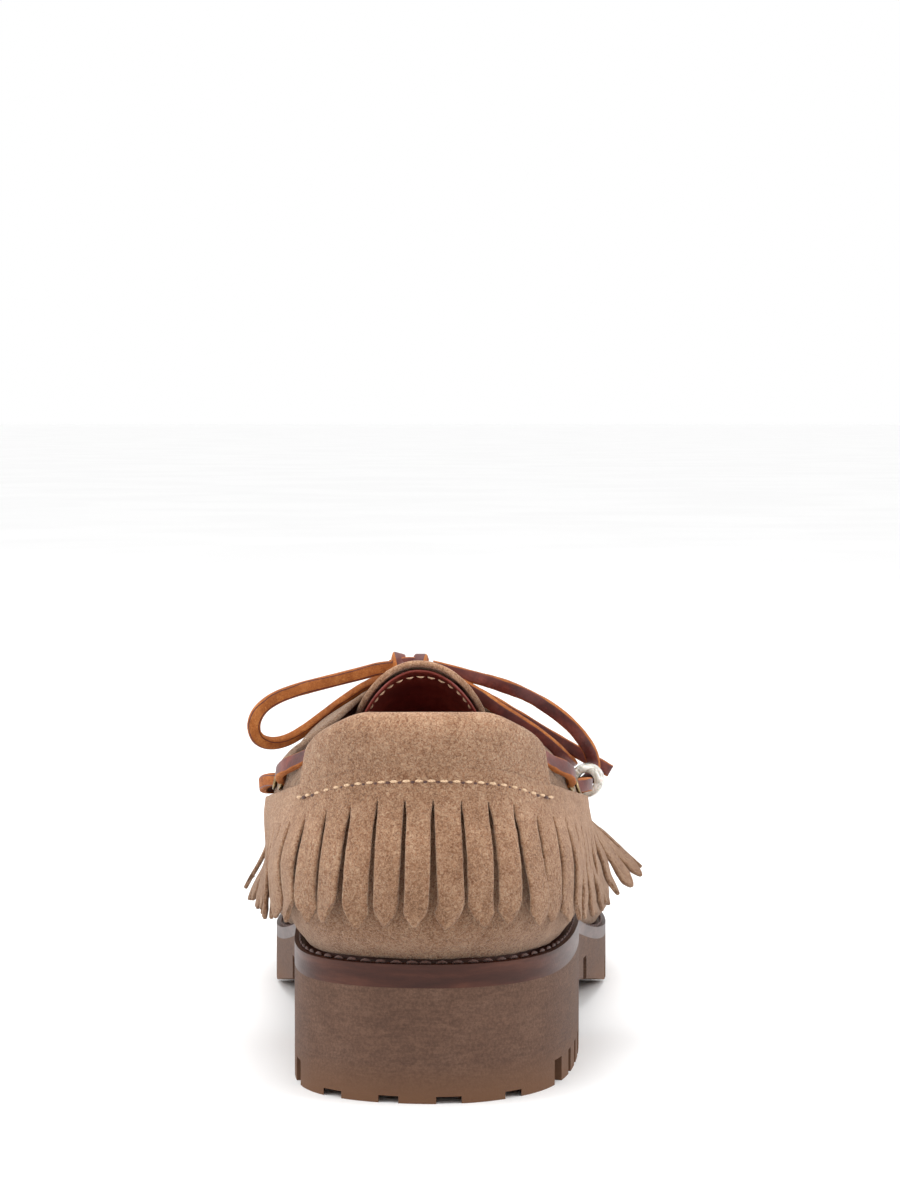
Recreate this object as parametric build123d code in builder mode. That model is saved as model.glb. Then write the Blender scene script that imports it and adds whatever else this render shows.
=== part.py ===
"""Right-foot camp moccasin: fringed heel, lugged sole and a tied leather lace.

Millimetres. +Y runs from heel to toe, +X to the outer side of the foot, +Z up. The floor is
Z = 0 and the origin is on the tread, under the middle of the heel.
"""

from build123d import *
from math import ceil, cos, hypot, pi, radians, sin, tan
import os

# Driving dimensions ---------------------------------------------------------------------
HEEL_BACK = -38.0          # Y of the back of the sole
TOE_TIP = 254.0            # Y of the front of the sole
HEEL_BREAST = 54.0         # Y of the front face of the heel block
LUG_DEPTH = 7.0            # height of the side lugs
SUEDE = 1.4                # body, quarters, vamp, plug
LINING = 0.9               # glazed lining leather
COUNTER = 0.7              # heel stiffener
LACE = 3.4                 # lace, as a round section
FRINGE_PITCH = 8.0         # distance between two fringe cuts
FRINGE_SLIT = 1.3          # width of a cut near its top
EYESTAY_END = 112.0        # Y where the lace facings end and the apron seam starts
FACING_SHARE = 0.88        # lowest share of height that the front of the facing covers
FACING_TAPER = 60.0        # how slowly the vamp rises to the top edge past the facing
SEAM_OVERLAP = 4.0         # how far the fringe strip tucks under the collar
GAP = 0.1                  # clearance between sewn layers

# Edge of the sole seen from above, from the back of the heel round by the outer side ------
SOLE_EDGE = [
    (0, -38), (19.5, -33.2), (32.5, -20.5), (38.5, -6.5), (43.2, 18), (45.3, 48),
    (46, 75), (50.5, 105), (56, 134), (59, 162), (57, 194), (45, 226), (22, 247),
    (-6, 254), (-30, 239), (-45, 210), (-51, 178), (-51, 152), (-46.5, 120),
    (-41, 88), (-38.7, 50), (-38, 12), (-36.5, -8), (-31, -23), (-17.5, -34),
]

# Heights along the shoe: rows of (Y, Z). Pairs are for the outer side and the inner side -----
SOLE_TOP = [(-38, 38.5), (42, 38.5), (62, 36.5), (92, 29), (122, 22.5), (150, 19),
            (180, 18), (210, 19.5), (254, 25)]
BAND_BOTTOM = [(-38, 32), (42, 32), (62, 30.5), (92, 25), (122, 18.7), (150, 15.3),
               (180, 14.4), (210, 15.6), (254, 21)]
SHANK = [(58, 16), (92, 11), (112, 7.6), (132, 3.8), (160, 0)]
TOP_EDGE = ([(-38, 107.3), (-31, 106.4), (-24, 102.7), (-16, 94.6), (-8, 89.4), (7, 86.1),
             (32, 83.3), (50, 84.3), (64, 90), (77, 97.2), (92, 95.8), (112, 88.2), (142, 74.8),
             (177, 64.1), (207, 57.8), (232, 53.4), (254, 50.5)],
            [(-38, 107.3), (-31, 106.4), (-24, 102.7), (-16, 94.6), (-8, 89.4), (7, 87.5),
             (32, 86.6), (50, 88.6), (64, 95.3), (77, 102.9), (92, 100.1), (112, 90.6),
             (142, 75.7), (177, 64.1), (207, 57.8), (232, 53.4), (254, 50.5)])
SHOULDER = ([(-38, 80.3), (-18, 78.4), (7, 74.6), (32, 72.7), (50, 74.6), (64, 78.5), (77, 82.4),
             (92, 80.5), (112, 72.8), (142, 61.2), (177, 52.4), (207, 47.5), (254, 44.6)],
            [(-38, 80.3), (-18, 78.4), (7, 74.6), (32, 73.6), (50, 76.6), (64, 82.4), (77, 86.2),
             (92, 84.3), (112, 75.7), (142, 63.1), (177, 52.4), (207, 47.5), (254, 44.6)])
SEAM = [(-38, 88.8), (-33, 87.2), (-25, 83.5), (-10, 79), (8, 75.5), (32, 72), (70, 68),
        (88, 70.5), (104, 79.5), (116, 93)]
FRINGE_TIP = ([(-38, 49), (-10, 46), (12, 43.5), (40, 43), (56, 46), (70, 50)],
              [(-38, 49), (-10, 46), (12, 43.5), (40, 42), (56, 41), (70, 42)])
TONGUE_CROWN = [(64, 111.9), (72, 109.6), (84, 104.9), (102, 95.9), (112, 89.6), (120, 84.4)]

# Distance outward from the sole's edge: rows of (Y, distance), outer side and inner side ------
BASE_INSET = -3.5
BELLY_SHARE = 0.3          # height of the widest line, from the sole to the shoulder
BELLY_OUT = ([(-38, 2), (0, 1.5), (32, 1.2), (112, 0.5), (177, 1), (254, 1.5)],
             [(-38, 2), (0, 2.5), (32, 5.5), (77, 6), (112, 4.5), (142, 3), (254, 1.5)])
SHOULDER_OUT = ([(-38, 0.5), (-18, 0), (7, 0.3), (32, 0.2), (50, -1), (64, -4.5), (77, -8),
                 (92, -12), (112, -15), (142, -9), (177, -6), (254, -6)],
                [(-38, 0.5), (-18, 0.5), (7, 4), (32, 6.4), (50, 6), (64, 2.5), (77, -1),
                 (92, -5), (112, -8), (142, -5), (177, -5), (254, -6)])
TOP_OUT = ([(-38, -4), (-23, -3.5), (-16, -3), (7, -2.6), (32, -2.2), (50, -7),
            (64, -18), (77, -28), (92, -33), (112, -36), (142, -28), (177, -21), (254, -20)],
           [(-38, -4), (-23, -3.5), (-16, -2), (7, 1.5), (32, 4.3), (50, 1), (64, -10),
            (77, -21), (92, -27), (112, -31), (142, -22.5), (177, -20), (254, -20)])
FRINGE_OUT = ([(-38, 6), (-10, 5), (12, 5), (37, 9), (54, 17), (66, 21)],
              [(-38, 6), (-10, 6), (12, 8.5), (37, 13), (54, 15.5), (66, 17)])
LINING_INSET = [(-38, 2.7), (-14, 2.9), (2, 5.0), (120, 5.0)]


def smooth(table, at):
    """Value at one key of a table of (key, value) rows, on a smooth curve through them."""
    if at <= table[0][0]:
        return table[0][1]
    if at >= table[-1][0]:
        return table[-1][1]
    row = max(i for i in range(len(table) - 1) if table[i][0] <= at)
    (k0, v0), (k1, v1) = table[row], table[row + 1]
    span = k1 - k0
    slope = (v1 - v0) / span
    start = slope if row == 0 else (v1 - table[row - 1][1]) / (k1 - table[row - 1][0])
    if row + 2 == len(table):
        end = slope
    else:
        end = (table[row + 2][1] - v0) / (table[row + 2][0] - k0)
    t = (at - k0) / span
    return (
        (2 * t**3 - 3 * t**2 + 1) * v0
        + (t**3 - 2 * t**2 + t) * span * start
        + (3 * t**2 - 2 * t**3) * v1
        + (t**3 - t**2) * span * end
    )


def spaced(first, last, step):
    """Evenly spaced values from first to last, at most a step apart."""
    count = max(1, ceil(abs(last - first) / step))
    return [first + (last - first) * i / count for i in range(count + 1)]


def keep(piece, name):
    """Label a finished piece and write its STEP file."""
    piece.part.label = name
    export_step(piece.part, f"parts/{name}.step")
    return piece


os.makedirs("parts", exist_ok=True)

# Stations round the sole's edge -----------------------------------------------------------
with BuildLine() as sole_edge_line:
    Spline(*SOLE_EDGE, periodic=True)
sole_edge = sole_edge_line.edges()[0]
EDGE_LENGTH = sole_edge.length


def edge_point(along):
    """Point on the sole's edge, so far round from the back of the heel, + to the outer side."""
    return sole_edge @ ((along / EDGE_LENGTH) % 1)


def station(along):
    """Upright plane across the sole's edge: local X points outward, local Y up."""
    point = edge_point(along)
    run = sole_edge % ((along / EDGE_LENGTH) % 1)
    outward = Vector(run.Y, -run.X, 0)
    return Plane(origin=point, x_dir=outward, z_dir=outward.cross(Vector(0, 0, 1)))


def along_at(y, side):
    """How far round the edge lies the point at this Y, on the outer (1) or inner (-1) side."""
    low, high = 0.0, EDGE_LENGTH / 2
    for _ in range(40):
        middle = (low + high) / 2
        if edge_point(side * middle).Y < y:
            low = middle
        else:
            high = middle
    return side * low


STATION_STEP = 7.0
ROUND_STATIONS = spaced(0, EDGE_LENGTH, 2.5 * STATION_STEP)[:-1]


def stations(first, last):
    """Stations from first to last: the ends, and whole steps from the back of the heel."""
    margin = STATION_STEP / 2
    steps = range(ceil((first + margin) / STATION_STEP), ceil((last - margin) / STATION_STEP))
    return [first, *(STATION_STEP * step for step in steps), last]


def wall_point(along, share, out=0.0):
    """Point of the upper's outer face in its station's plane: share 0 is the feather edge,
    1 the top edge, and out lies off the face along its normal."""
    y = edge_point(along).Y
    side = 0 if along % EDGE_LENGTH < EDGE_LENGTH / 2 else 1
    base = smooth(SOLE_TOP, y)
    shoulder = smooth(SHOULDER[side], y)
    knots = [
        (BASE_INSET, base),
        (smooth(BELLY_OUT[side], y), base + BELLY_SHARE * (shoulder - base)),
        (smooth(SHOULDER_OUT[side], y), shoulder),
        (smooth(TOP_OUT[side], y), smooth(TOP_EDGE[side], y)),
    ]
    outs = [(i, knot[0]) for i, knot in enumerate(knots)]
    heights = [(i, knot[1]) for i, knot in enumerate(knots)]
    at = share * 3
    step = 0.02
    n, z = smooth(outs, at), smooth(heights, at)
    below, above = max(0.0, at - step), min(3.0, at + step)
    dn = smooth(outs, above) - smooth(outs, below)
    dz = smooth(heights, above) - smooth(heights, below)
    length = hypot(dn, dz)
    return Vector(n + out * dz / length, z - out * dn / length)


def share_at(along, height):
    """Share of the wall's height at which its outer face reaches a height above the floor."""
    low, high = 0.0, 1.0
    for _ in range(30):
        middle = (low + high) / 2
        if wall_point(along, middle).Y < height:
            low = middle
        else:
            high = middle
    return (low + high) / 2


def on_wall(along, height, out):
    """Point in space at a height on the wall, off its outer face."""
    flat = wall_point(along, share_at(along, height), out)
    return station(along).from_local_coords(Vector(flat.X, flat.Y, 0))


def wall_section(along, low, high, inner, outer):
    """Closed section of a sheet of the wall between two shares of its height."""
    shares = [low + (high - low) * i / 4 for i in range(5)]
    outside = [wall_point(along, share, outer) for share in shares]
    inside = [wall_point(along, share, inner) for share in reversed(shares)]
    with BuildLine() as outline:
        Spline(*outside)
        Line(outside[-1], inside[0])
        Spline(*inside)
        Line(inside[-1], outside[0])
    make_face(outline.edges())


def wall_sheet(alongs, low, high, inner, outer):
    """Sheet of leather that follows the wall. The limits are functions of the station."""
    with BuildPart() as sheet:
        for along in alongs:
            with BuildSketch(station(along)):
                wall_section(along, low(along), high(along), inner(along), outer(along))
        loft()
    return sheet


def seam_share(along, lift=0.0):
    """Share of the wall's height at the seam that the fringe hangs from. Under the lace
    facing it stays below the top edge, and in front of the facing it runs up to it."""
    y = edge_point(along).Y
    if y <= EYESTAY_END:
        return min(share_at(along, smooth(SEAM, y) + lift), FACING_SHARE + 0.01 * (lift > 0))
    return min(1.0, FACING_SHARE + (y - EYESTAY_END) / FACING_TAPER)


# Sole -------------------------------------------------------------------------------------
SOLE_HALF = 90.0           # half the width of the cutting profiles, wider than the sole
OVERRUN = 4.0              # how far the cutting profiles run past the sole's ends
INSOLE_INSET = 10.0
GROOVE = 4.0               # width of a side groove of the tread
GROOVE_REACH = 12.0        # how far a side groove runs inward
TREAD_CUT = 3.5            # depth of the grooves between the middle lugs
TOE_SPRING = 8.5
# side grooves: (Y, width) on both sides, then spaced round the toe
SIDE_GROOVES = [(-10.3, 6.5), (3.4, GROOVE), (15.8, GROOVE), (28.2, GROOVE), (40.6, GROOVE),
                (99, 7), (152, 5), (168, 5), (184, 5), (200, 5), (216, 5), (231, 5)]
# notches in the back edge: (X, width, Y of the inner end)
BACK_NOTCHES = [(-25.8, 5, -16), (-10.2, 5.5, -24), (6.4, 7, -25), (24.2, 4.5, -17)]
NOTCH_HEIGHT = 2.0


def overrun(table, lift=0.0):
    """The same heights, lifted, with both ends carried past the sole."""
    first, last = table[0], table[-1]
    ends = [(first[0] - OVERRUN, first[1]), (last[0] + OVERRUN, last[1] + 0.6)]
    return [(y, z + lift) for y, z in [ends[0], *table[1:-1], ends[1]]]


def slab(upper, lower):
    """Side profile between two height lines, drawn in the YZ plane."""
    with BuildLine() as outline:
        top = Spline(*upper)
        bottom = Spline(*lower)
        Line(top @ 0, bottom @ 0)
        Line(top @ 1, bottom @ 1)
    make_face(outline.edges())


def plan(inset=0.0):
    """The sole seen from above, drawn smaller by an inset."""
    inward = Vector(-inset, 0, 0)
    points = [station(along).from_local_coords(inward) for along in ROUND_STATIONS]
    with BuildLine() as edge:
        Spline(*(points if inset else SOLE_EDGE), periodic=True)
    make_face(edge.edges())


def sole_layer(upper, lower, inset):
    """Layer of the bottom between two height lines."""
    with BuildPart() as layer:
        with BuildSketch():
            plan(inset)
        extrude(amount=60)
        with BuildSketch(Plane.YZ):
            slab(upper, lower)
        extrude(amount=SOLE_HALF, both=True, mode=Mode.INTERSECT)
    return layer


midsole = sole_layer(overrun(SOLE_TOP), overrun(BAND_BOTTOM), 0)
keep(midsole, "midsole_band")

insole_board = sole_layer(overrun(SOLE_TOP, 2.4), overrun(SOLE_TOP, 0.1), INSOLE_INSET)
keep(insole_board, "insole_board")

sock_liner = sole_layer(overrun(SOLE_TOP, 4.0), overrun(SOLE_TOP, 2.5), INSOLE_INSET + 0.5)
keep(sock_liner, "sock_liner")

with BuildPart() as outsole:
    with BuildSketch():
        plan()
    extrude(amount=60)
    with BuildSketch(Plane.YZ):
        with BuildLine():
            top = Spline(*overrun(BAND_BOTTOM))
            heel = Line((HEEL_BACK - OVERRUN, 0), (HEEL_BREAST, 0))
            breast = Line(heel @ 1, SHANK[0])
            shank = Spline(*SHANK, tangents=((1, -0.12), (1, 0)))
            ball = Line(shank @ 1, (200, 0))
            toe = Spline(ball @ 1, (TOE_TIP + OVERRUN, TOE_SPRING), tangents=((1, 0), (1, 0.3)))
            Line(top @ 0, heel @ 0)
            Line(top @ 1, toe @ 1)
        make_face()
    extrude(amount=SOLE_HALF, both=True, mode=Mode.INTERSECT)

    for y, width in SIDE_GROOVES:
        for side in (1, -1):
            top_of_groove = LUG_DEPTH + (smooth(SHANK, y) if HEEL_BREAST < y < 160 else 0)
            with BuildSketch(station(along_at(y, side))):
                Rectangle(2 * GROOVE_REACH, 2 * top_of_groove)
            extrude(amount=width / 2, both=True, mode=Mode.SUBTRACT)

    for x, width, inner in BACK_NOTCHES:
        with BuildSketch():
            with Locations((x, inner)):
                Rectangle(width, 60, align=(Align.CENTER, Align.MAX))
        extrude(amount=NOTCH_HEIGHT, mode=Mode.SUBTRACT)

    # grooves between the middle lugs of the heel and the ball
    with BuildSketch():
        with Locations((0, -14), (0, 14), (0, 36)):
            Rectangle(42, GROOVE)
        with Locations((-23, 14), (23, 14)):
            Rectangle(GROOVE, 60)
        with Locations((3, 146), (3, 162), (3, 178), (1, 194), (-2, 210)):
            Rectangle(56, GROOVE)
        with Locations((-27, 176), (3, 176), (31, 176)):
            Rectangle(GROOVE, 68)
    extrude(amount=TREAD_CUT, mode=Mode.SUBTRACT)
keep(outsole, "outsole")

# Upper: linings and body ------------------------------------------------------------------
COLLAR_REACH = 43.0        # how far the collar runs round from the back, each way
COLLAR_LEATHER = 1.4
TUNNEL = 4.4               # room for the lace between lining and collar
BODY_END = 70.0            # Y where the heel part meets the vamp
LINING_END = 80.0          # Y where the lining stops on each side
BASE_LIFT = 0.012          # share of height that keeps leather off the midsole


def lining_depth(along):
    """Distance of the lining's outer face inside the upper's outer face."""
    return smooth(LINING_INSET, edge_point(along).Y)


def lining_top(along):
    """The lining stops just under the top edge, and lower where the lace facings begin."""
    return smooth([(30, 0.97), (45, 0.93), (LINING_END, 0.74)], edge_point(along).Y)


heel_lining = wall_sheet(
    stations(along_at(LINING_END, -1), along_at(LINING_END, 1)),
    low=lambda along: BASE_LIFT,
    high=lining_top,
    inner=lambda along: -lining_depth(along) - LINING,
    outer=lambda along: -lining_depth(along),
)
keep(heel_lining, "heel_lining")

COUNTER_REACH = 62.0
heel_counter = wall_sheet(
    stations(-COUNTER_REACH, COUNTER_REACH),
    low=lambda along: 0.05,
    high=lambda along: seam_share(along, -4),
    inner=lambda along: -SUEDE - 3 * GAP - COUNTER,
    outer=lambda along: -SUEDE - 3 * GAP,
)
keep(heel_counter, "heel_counter")

heel_body = wall_sheet(
    stations(along_at(BODY_END, -1), along_at(BODY_END, 1)),
    low=lambda along: BASE_LIFT,
    high=lambda along: seam_share(along, -0.1),
    inner=lambda along: -SUEDE,
    outer=lambda along: 0.0,
)
keep(heel_body, "heel_body")

vamp_start = along_at(BODY_END + 0.2, 1)
vamp_end = EDGE_LENGTH + along_at(BODY_END + 0.2, -1)
vamp = wall_sheet(
    stations(vamp_start, vamp_end),
    low=lambda along: BASE_LIFT,
    high=lambda along: seam_share(along, -0.1),
    inner=lambda along: -SUEDE,
    outer=lambda along: 0.0,
)
keep(vamp, "vamp")

# Collar with its lace tunnel --------------------------------------------------------------
collar = wall_sheet(
    stations(-COLLAR_REACH, COLLAR_REACH),
    low=lambda along: seam_share(along, -1.5),
    high=lambda along: 1.0,
    inner=lambda along: TUNNEL - lining_depth(along),
    outer=lambda along: TUNNEL - lining_depth(along) + COLLAR_LEATHER,
)
keep(collar, "heel_collar")

FOAM_REACH = 27.0
FOAM_LOW = 98.0
collar_foam = wall_sheet(
    stations(-FOAM_REACH, FOAM_REACH),
    low=lambda along: share_at(along, FOAM_LOW),
    high=lambda along: 0.97,
    inner=lambda along: -lining_depth(along) + GAP,
    outer=lambda along: TUNNEL - lining_depth(along) - GAP,
)
keep(collar_foam, "collar_foam")

# Fringe -----------------------------------------------------------------------------------
FRINGE_END = 66.0          # Y where the fringe stops on each side
FRINGE_LEATHER = 1.1
CUT_START = 7.0            # the uncut band under the seam
TIP_RISE = 5.0             # height of the pointed end of a tab


def fringe_line(along, out):
    """Points down the fringe strip in its station's plane, at a distance off its inner face."""
    y = edge_point(along).Y
    side = 0 if along >= 0 else 1
    seam = smooth(SEAM, y)
    tip = (smooth(FRINGE_OUT[side], y), smooth(FRINGE_TIP[side], y))
    tucked = wall_point(along, share_at(along, seam + SEAM_OVERLAP), 3 * GAP)
    sewn = wall_point(along, share_at(along, seam - 2), 5 * GAP)
    middle_height = (seam + tip[1]) / 2
    on_body = wall_point(along, share_at(along, middle_height), 0.0).X
    middle = ((max(tip[0], on_body + 2) + on_body + 3.4) / 2, middle_height)
    rows = [(tucked.X, tucked.Y), (sewn.X, sewn.Y), middle, tip]
    points = []
    for i, (n, z) in enumerate(rows):
        before, after = rows[max(0, i - 1)], rows[min(3, i + 1)]
        dn, dz = after[0] - before[0], after[1] - before[1]
        length = hypot(dn, dz)
        points.append(Vector(n - out * dz / length, z + out * dn / length))
    return points


with BuildPart() as fringe:
    for along in stations(along_at(FRINGE_END, -1), along_at(FRINGE_END, 1)):
        with BuildSketch(station(along)):
            inside = fringe_line(along, 0.0)
            outside = fringe_line(along, FRINGE_LEATHER)
            with BuildLine():
                Spline(*outside)
                Line(outside[-1], inside[-1])
                Spline(*reversed(inside))
                Line(inside[0], outside[0])
            make_face()
    loft()

    for along in spaced(along_at(FRINGE_END, -1), along_at(FRINGE_END, 1), FRINGE_PITCH):
        across = station(along)
        y = across.origin.Y
        low = smooth(FRINGE_TIP[0 if along >= 0 else 1], y)
        top = smooth(SEAM, y) - CUT_START
        point = FRINGE_PITCH / 2 - 1.0
        facing = Plane(origin=across.origin, x_dir=-across.z_dir, z_dir=across.x_dir)
        with BuildSketch(facing.offset(-6)):
            with BuildLine():
                Polyline(
                    (-FRINGE_SLIT / 3, top), (FRINGE_SLIT / 3, top),
                    (FRINGE_SLIT / 2, low + TIP_RISE), (point, low - 0.5), (point, low - 9),
                    (-point, low - 9), (-point, low - 0.5), (-FRINGE_SLIT / 2, low + TIP_RISE),
                    close=True,
                )
            make_face()
        extrude(amount=40, mode=Mode.SUBTRACT)
keep(fringe, "fringe")

# Eyelets and quarters ---------------------------------------------------------------------
EYELET_RADIUS = 2.9
EYELET_BORE = 1.95
EYELET_RIM = 0.7
# side eyelets (Y, Z) on the outer and the inner side, then lace eyelets (Y, share of height)
SIDE_EYELETS = ([(7, 82.7), (25, 79.8), (47, 76.5)], [(7, 83.6), (25, 81.7), (47, 77.9)])
FRONT_EYELETS = [(88, 0.93), (102, 0.93)]


def facing_out(along, share, out=0.0):
    """Plane on the wall's outer face whose local Z points straight out of the leather."""
    across = station(along)
    at = wall_point(along, share, out)
    tip = wall_point(along, share, out + 1.0)
    foot = across.from_local_coords(Vector(at.X, at.Y, 0))
    head = across.from_local_coords(Vector(tip.X, tip.Y, 0))
    return Plane(origin=foot, z_dir=head - foot)


def eyelet_planes(side):
    """Planes of the side eyelets and of the lace eyelets on one side."""
    rows = SIDE_EYELETS[0 if side > 0 else 1]
    sides = [facing_out(along_at(y, side), share_at(along_at(y, side), z)) for y, z in rows]
    fronts = [facing_out(along_at(y, side), share) for y, share in FRONT_EYELETS]
    return sides, fronts


def eyelets(planes, name):
    """Group of identical brass eyelets."""
    with BuildPart() as group:
        for plane in planes:
            with BuildSketch(plane.offset(0.05)):
                Circle(EYELET_RADIUS)
                Circle(EYELET_BORE, mode=Mode.SUBTRACT)
            extrude(amount=EYELET_RIM)
            with BuildSketch(plane.offset(0.05)):
                Circle(EYELET_BORE + 0.35)
                Circle(EYELET_BORE, mode=Mode.SUBTRACT)
            extrude(amount=-SUEDE - 0.4)
    return keep(group, name)


def quarter(side, name):
    """Side piece from the collar's slot to the end of the lace facing."""
    ends = sorted((side * (COLLAR_REACH + 1.0), along_at(EYESTAY_END, side)))
    sheet = wall_sheet(
        stations(*ends),
        low=lambda along: seam_share(along, 0.1),
        high=lambda along: 1.0,
        inner=lambda along: -SUEDE,
        outer=lambda along: 0.0,
    )
    sides, fronts = eyelet_planes(side)
    with BuildPart() as piece:
        add(sheet.part)
        for plane in sides + fronts:
            with BuildSketch(plane.offset(-5)):
                Circle(EYELET_BORE + 0.4)
            extrude(amount=10, mode=Mode.SUBTRACT)
    return keep(piece, name)


for side, word in ((1, "outer"), (-1, "inner")):
    quarter(side, f"quarter_{word}_side")
    side_planes, front_planes = eyelet_planes(side)
    eyelets(side_planes, f"side_eyelets_{word}")
    eyelets(front_planes, f"lace_eyelets_{word}")

# Apron and tongue -------------------------------------------------------------------------
APRON_START = 113.5
APRON_END = 231.0
APRON_CROWN = [(113, 2.5), (135, 4), (170, 6), (210, 6), (231, 2)]
APRON_EDGE_GAP = 0.9
TONGUE_CENTRE = -2.3
TONGUE_HALF = [(64, 8), (66.5, 13), (71, 17.5), (78, 19.5), (95, 20.5), (120, 20)]
TONGUE_DROP = 15.5         # how far the tongue's edge lies under its crown at full width
TONGUE_ARCH = 2.2          # power of the arch's curve
TONGUE_LEATHER = 1.4


def top_edge_at(y, side):
    """Point of the wall's top edge at this Y on one side."""
    low, high = 0.0, EDGE_LENGTH / 2
    for _ in range(30):
        middle = side * (low + high) / 2
        flat = wall_point(middle, 1.0)
        point = station(middle).from_local_coords(Vector(flat.X, flat.Y, 0))
        if point.Y < y:
            low = abs(middle)
        else:
            high = abs(middle)
    return point


def across_shoe(y):
    """Upright plane across the shoe: local X is +X and local Y is +Z."""
    return Plane(origin=(0, y, 0), x_dir=(1, 0, 0), z_dir=(0, -1, 0))


def arch_section(points, thickness):
    """Closed section of an arched sheet under a row of points."""
    under = [Vector(x, z - thickness) for x, z in points]
    with BuildLine() as outline:
        Spline(*points)
        Line(points[-1], under[-1])
        Spline(*reversed(under))
        Line(under[0], points[0])
    make_face(outline.edges())


with BuildPart() as apron:
    for y in spaced(APRON_START, APRON_END, 13):
        left, right = top_edge_at(y, -1), top_edge_at(y, 1)
        width = right.X - left.X - 2 * APRON_EDGE_GAP
        crown = smooth(APRON_CROWN, y)
        points = []
        for i in range(7):
            t = i / 6
            rise = crown * (1 - abs(2 * t - 1) ** 2.4)
            points.append((left.X + APRON_EDGE_GAP + width * t,
                           left.Z + (right.Z - left.Z) * t + rise))
        with BuildSketch(across_shoe(y)):
            arch_section(points, SUEDE)
    loft()
keep(apron, "apron")


def tongue_sheet(drop, thickness):
    """Arched sheet of the tongue, so far under its outer face."""
    with BuildPart() as sheet:
        for y in (64, 66.5, 71, 78, 86, 95, 104, 112, 120):
            half = smooth(TONGUE_HALF, y)
            fall = TONGUE_DROP * (half / 20) ** TONGUE_ARCH
            points = []
            for i in range(9):
                t = i / 4 - 1
                height = smooth(TONGUE_CROWN, y) - drop - fall * abs(t) ** TONGUE_ARCH
                points.append((TONGUE_CENTRE + half * t, height))
            with BuildSketch(across_shoe(y)):
                arch_section(points, thickness)
        loft()
    return sheet


keep(tongue_sheet(0.0, TONGUE_LEATHER), "tongue")
keep(tongue_sheet(TONGUE_LEATHER + 0.05, LINING), "tongue_lining")

# Stitching --------------------------------------------------------------------------------
THREAD = 0.9
STITCH = 2.4
STITCH_PITCH = 3.4
SEAM_PITCH = 8.5


def stitch(plane, length, width, height):
    """One raised stitch lying along the plane's local X."""
    with BuildSketch(plane) as outline:
        SlotOverall(length, width)
    extrude(outline.sketch, amount=height)


def along_leather(along, share, out):
    """Plane on the leather with local X along the row of stitches."""
    face = facing_out(along, share, out)
    return Plane(origin=face.origin, x_dir=station(along).z_dir, z_dir=face.z_dir)


with BuildPart() as collar_stitching:
    for along in spaced(3 - COLLAR_REACH, COLLAR_REACH - 3, STITCH_PITCH):
        out = TUNNEL - lining_depth(along) + COLLAR_LEATHER + 0.15
        stitch(along_leather(along, seam_share(along, 0.3), out), STITCH, THREAD, 0.5)
keep(collar_stitching, "collar_stitching")

with BuildPart() as apron_stitching:
    for along in spaced(along_at(118, 1), EDGE_LENGTH + along_at(118, -1), SEAM_PITCH):
        flat = wall_point(along, 1.0, 0.0)
        top = station(along).from_local_coords(Vector(flat.X + 0.2, flat.Y + 1.1, 0))
        across = Plane(origin=top, x_dir=station(along).x_dir, z_dir=(0, 0, 1))
        stitch(across, 4.6, 1.5, 0.9)
keep(apron_stitching, "apron_stitching")

# Laces ------------------------------------------------------------------------------------
ARC_SHARE = 0.45           # of the shorter run beside a corner


def corner_radii(points):
    """Radius of the arc at each inner corner of a route, as large as its runs allow."""
    radii = []
    for a, b, c in zip(points, points[1:], points[2:]):
        before, after = Vector(*b) - Vector(*a), Vector(*c) - Vector(*b)
        turn = radians(before.get_angle(after))
        shorter = min(before.length, after.length)
        radii.append(ARC_SHARE * shorter / tan(turn / 2))
    return radii


def lace(points, name, diameter=LACE):
    """Round lace along straight runs joined by tangent arcs."""
    radii = corner_radii(points)
    with BuildPart() as tube:
        with BuildLine() as route:
            FilletPolyline(*points, radius=radii)
        path = route.wire()
        with BuildSketch(Plane(origin=path @ 0, z_dir=path % 0)) as section:
            Circle(diameter / 2)
        sweep(section.sketch, path=path)
    expected = pi * diameter**2 / 4 * path.length
    print(f"{name}: length {path.length:.1f}, tightest arc {min(radii):.1f}, "
          f"volume ratio {tube.part.volume / expected:.4f}")
    return keep(tube, name)


def wall_route(side, rows):
    """Points on one side from rows of (Y, height, distance off the outer face)."""
    return [tuple(on_wall(along_at(y, side), z, out)) for y, z, out in rows]


def tunnel_route():
    """Heel lace: through the collar's tunnel and outside to the first eyelet on each side."""
    inside = [tuple(on_wall(along, TUNNEL_HEIGHT, TUNNEL / 2 - lining_depth(along)))
              for along in spaced(TUNNEL_REACH, -TUNNEL_REACH, 8.4)]
    inner, outer = (wall_route(side, [(y, z + lift, out) for y, z, out in TUNNEL_EXIT])
                    for side, lift in ((-1, 1.0), (1, 0.0)))
    return [*reversed(inner), *reversed(inside), *outer]


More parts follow.
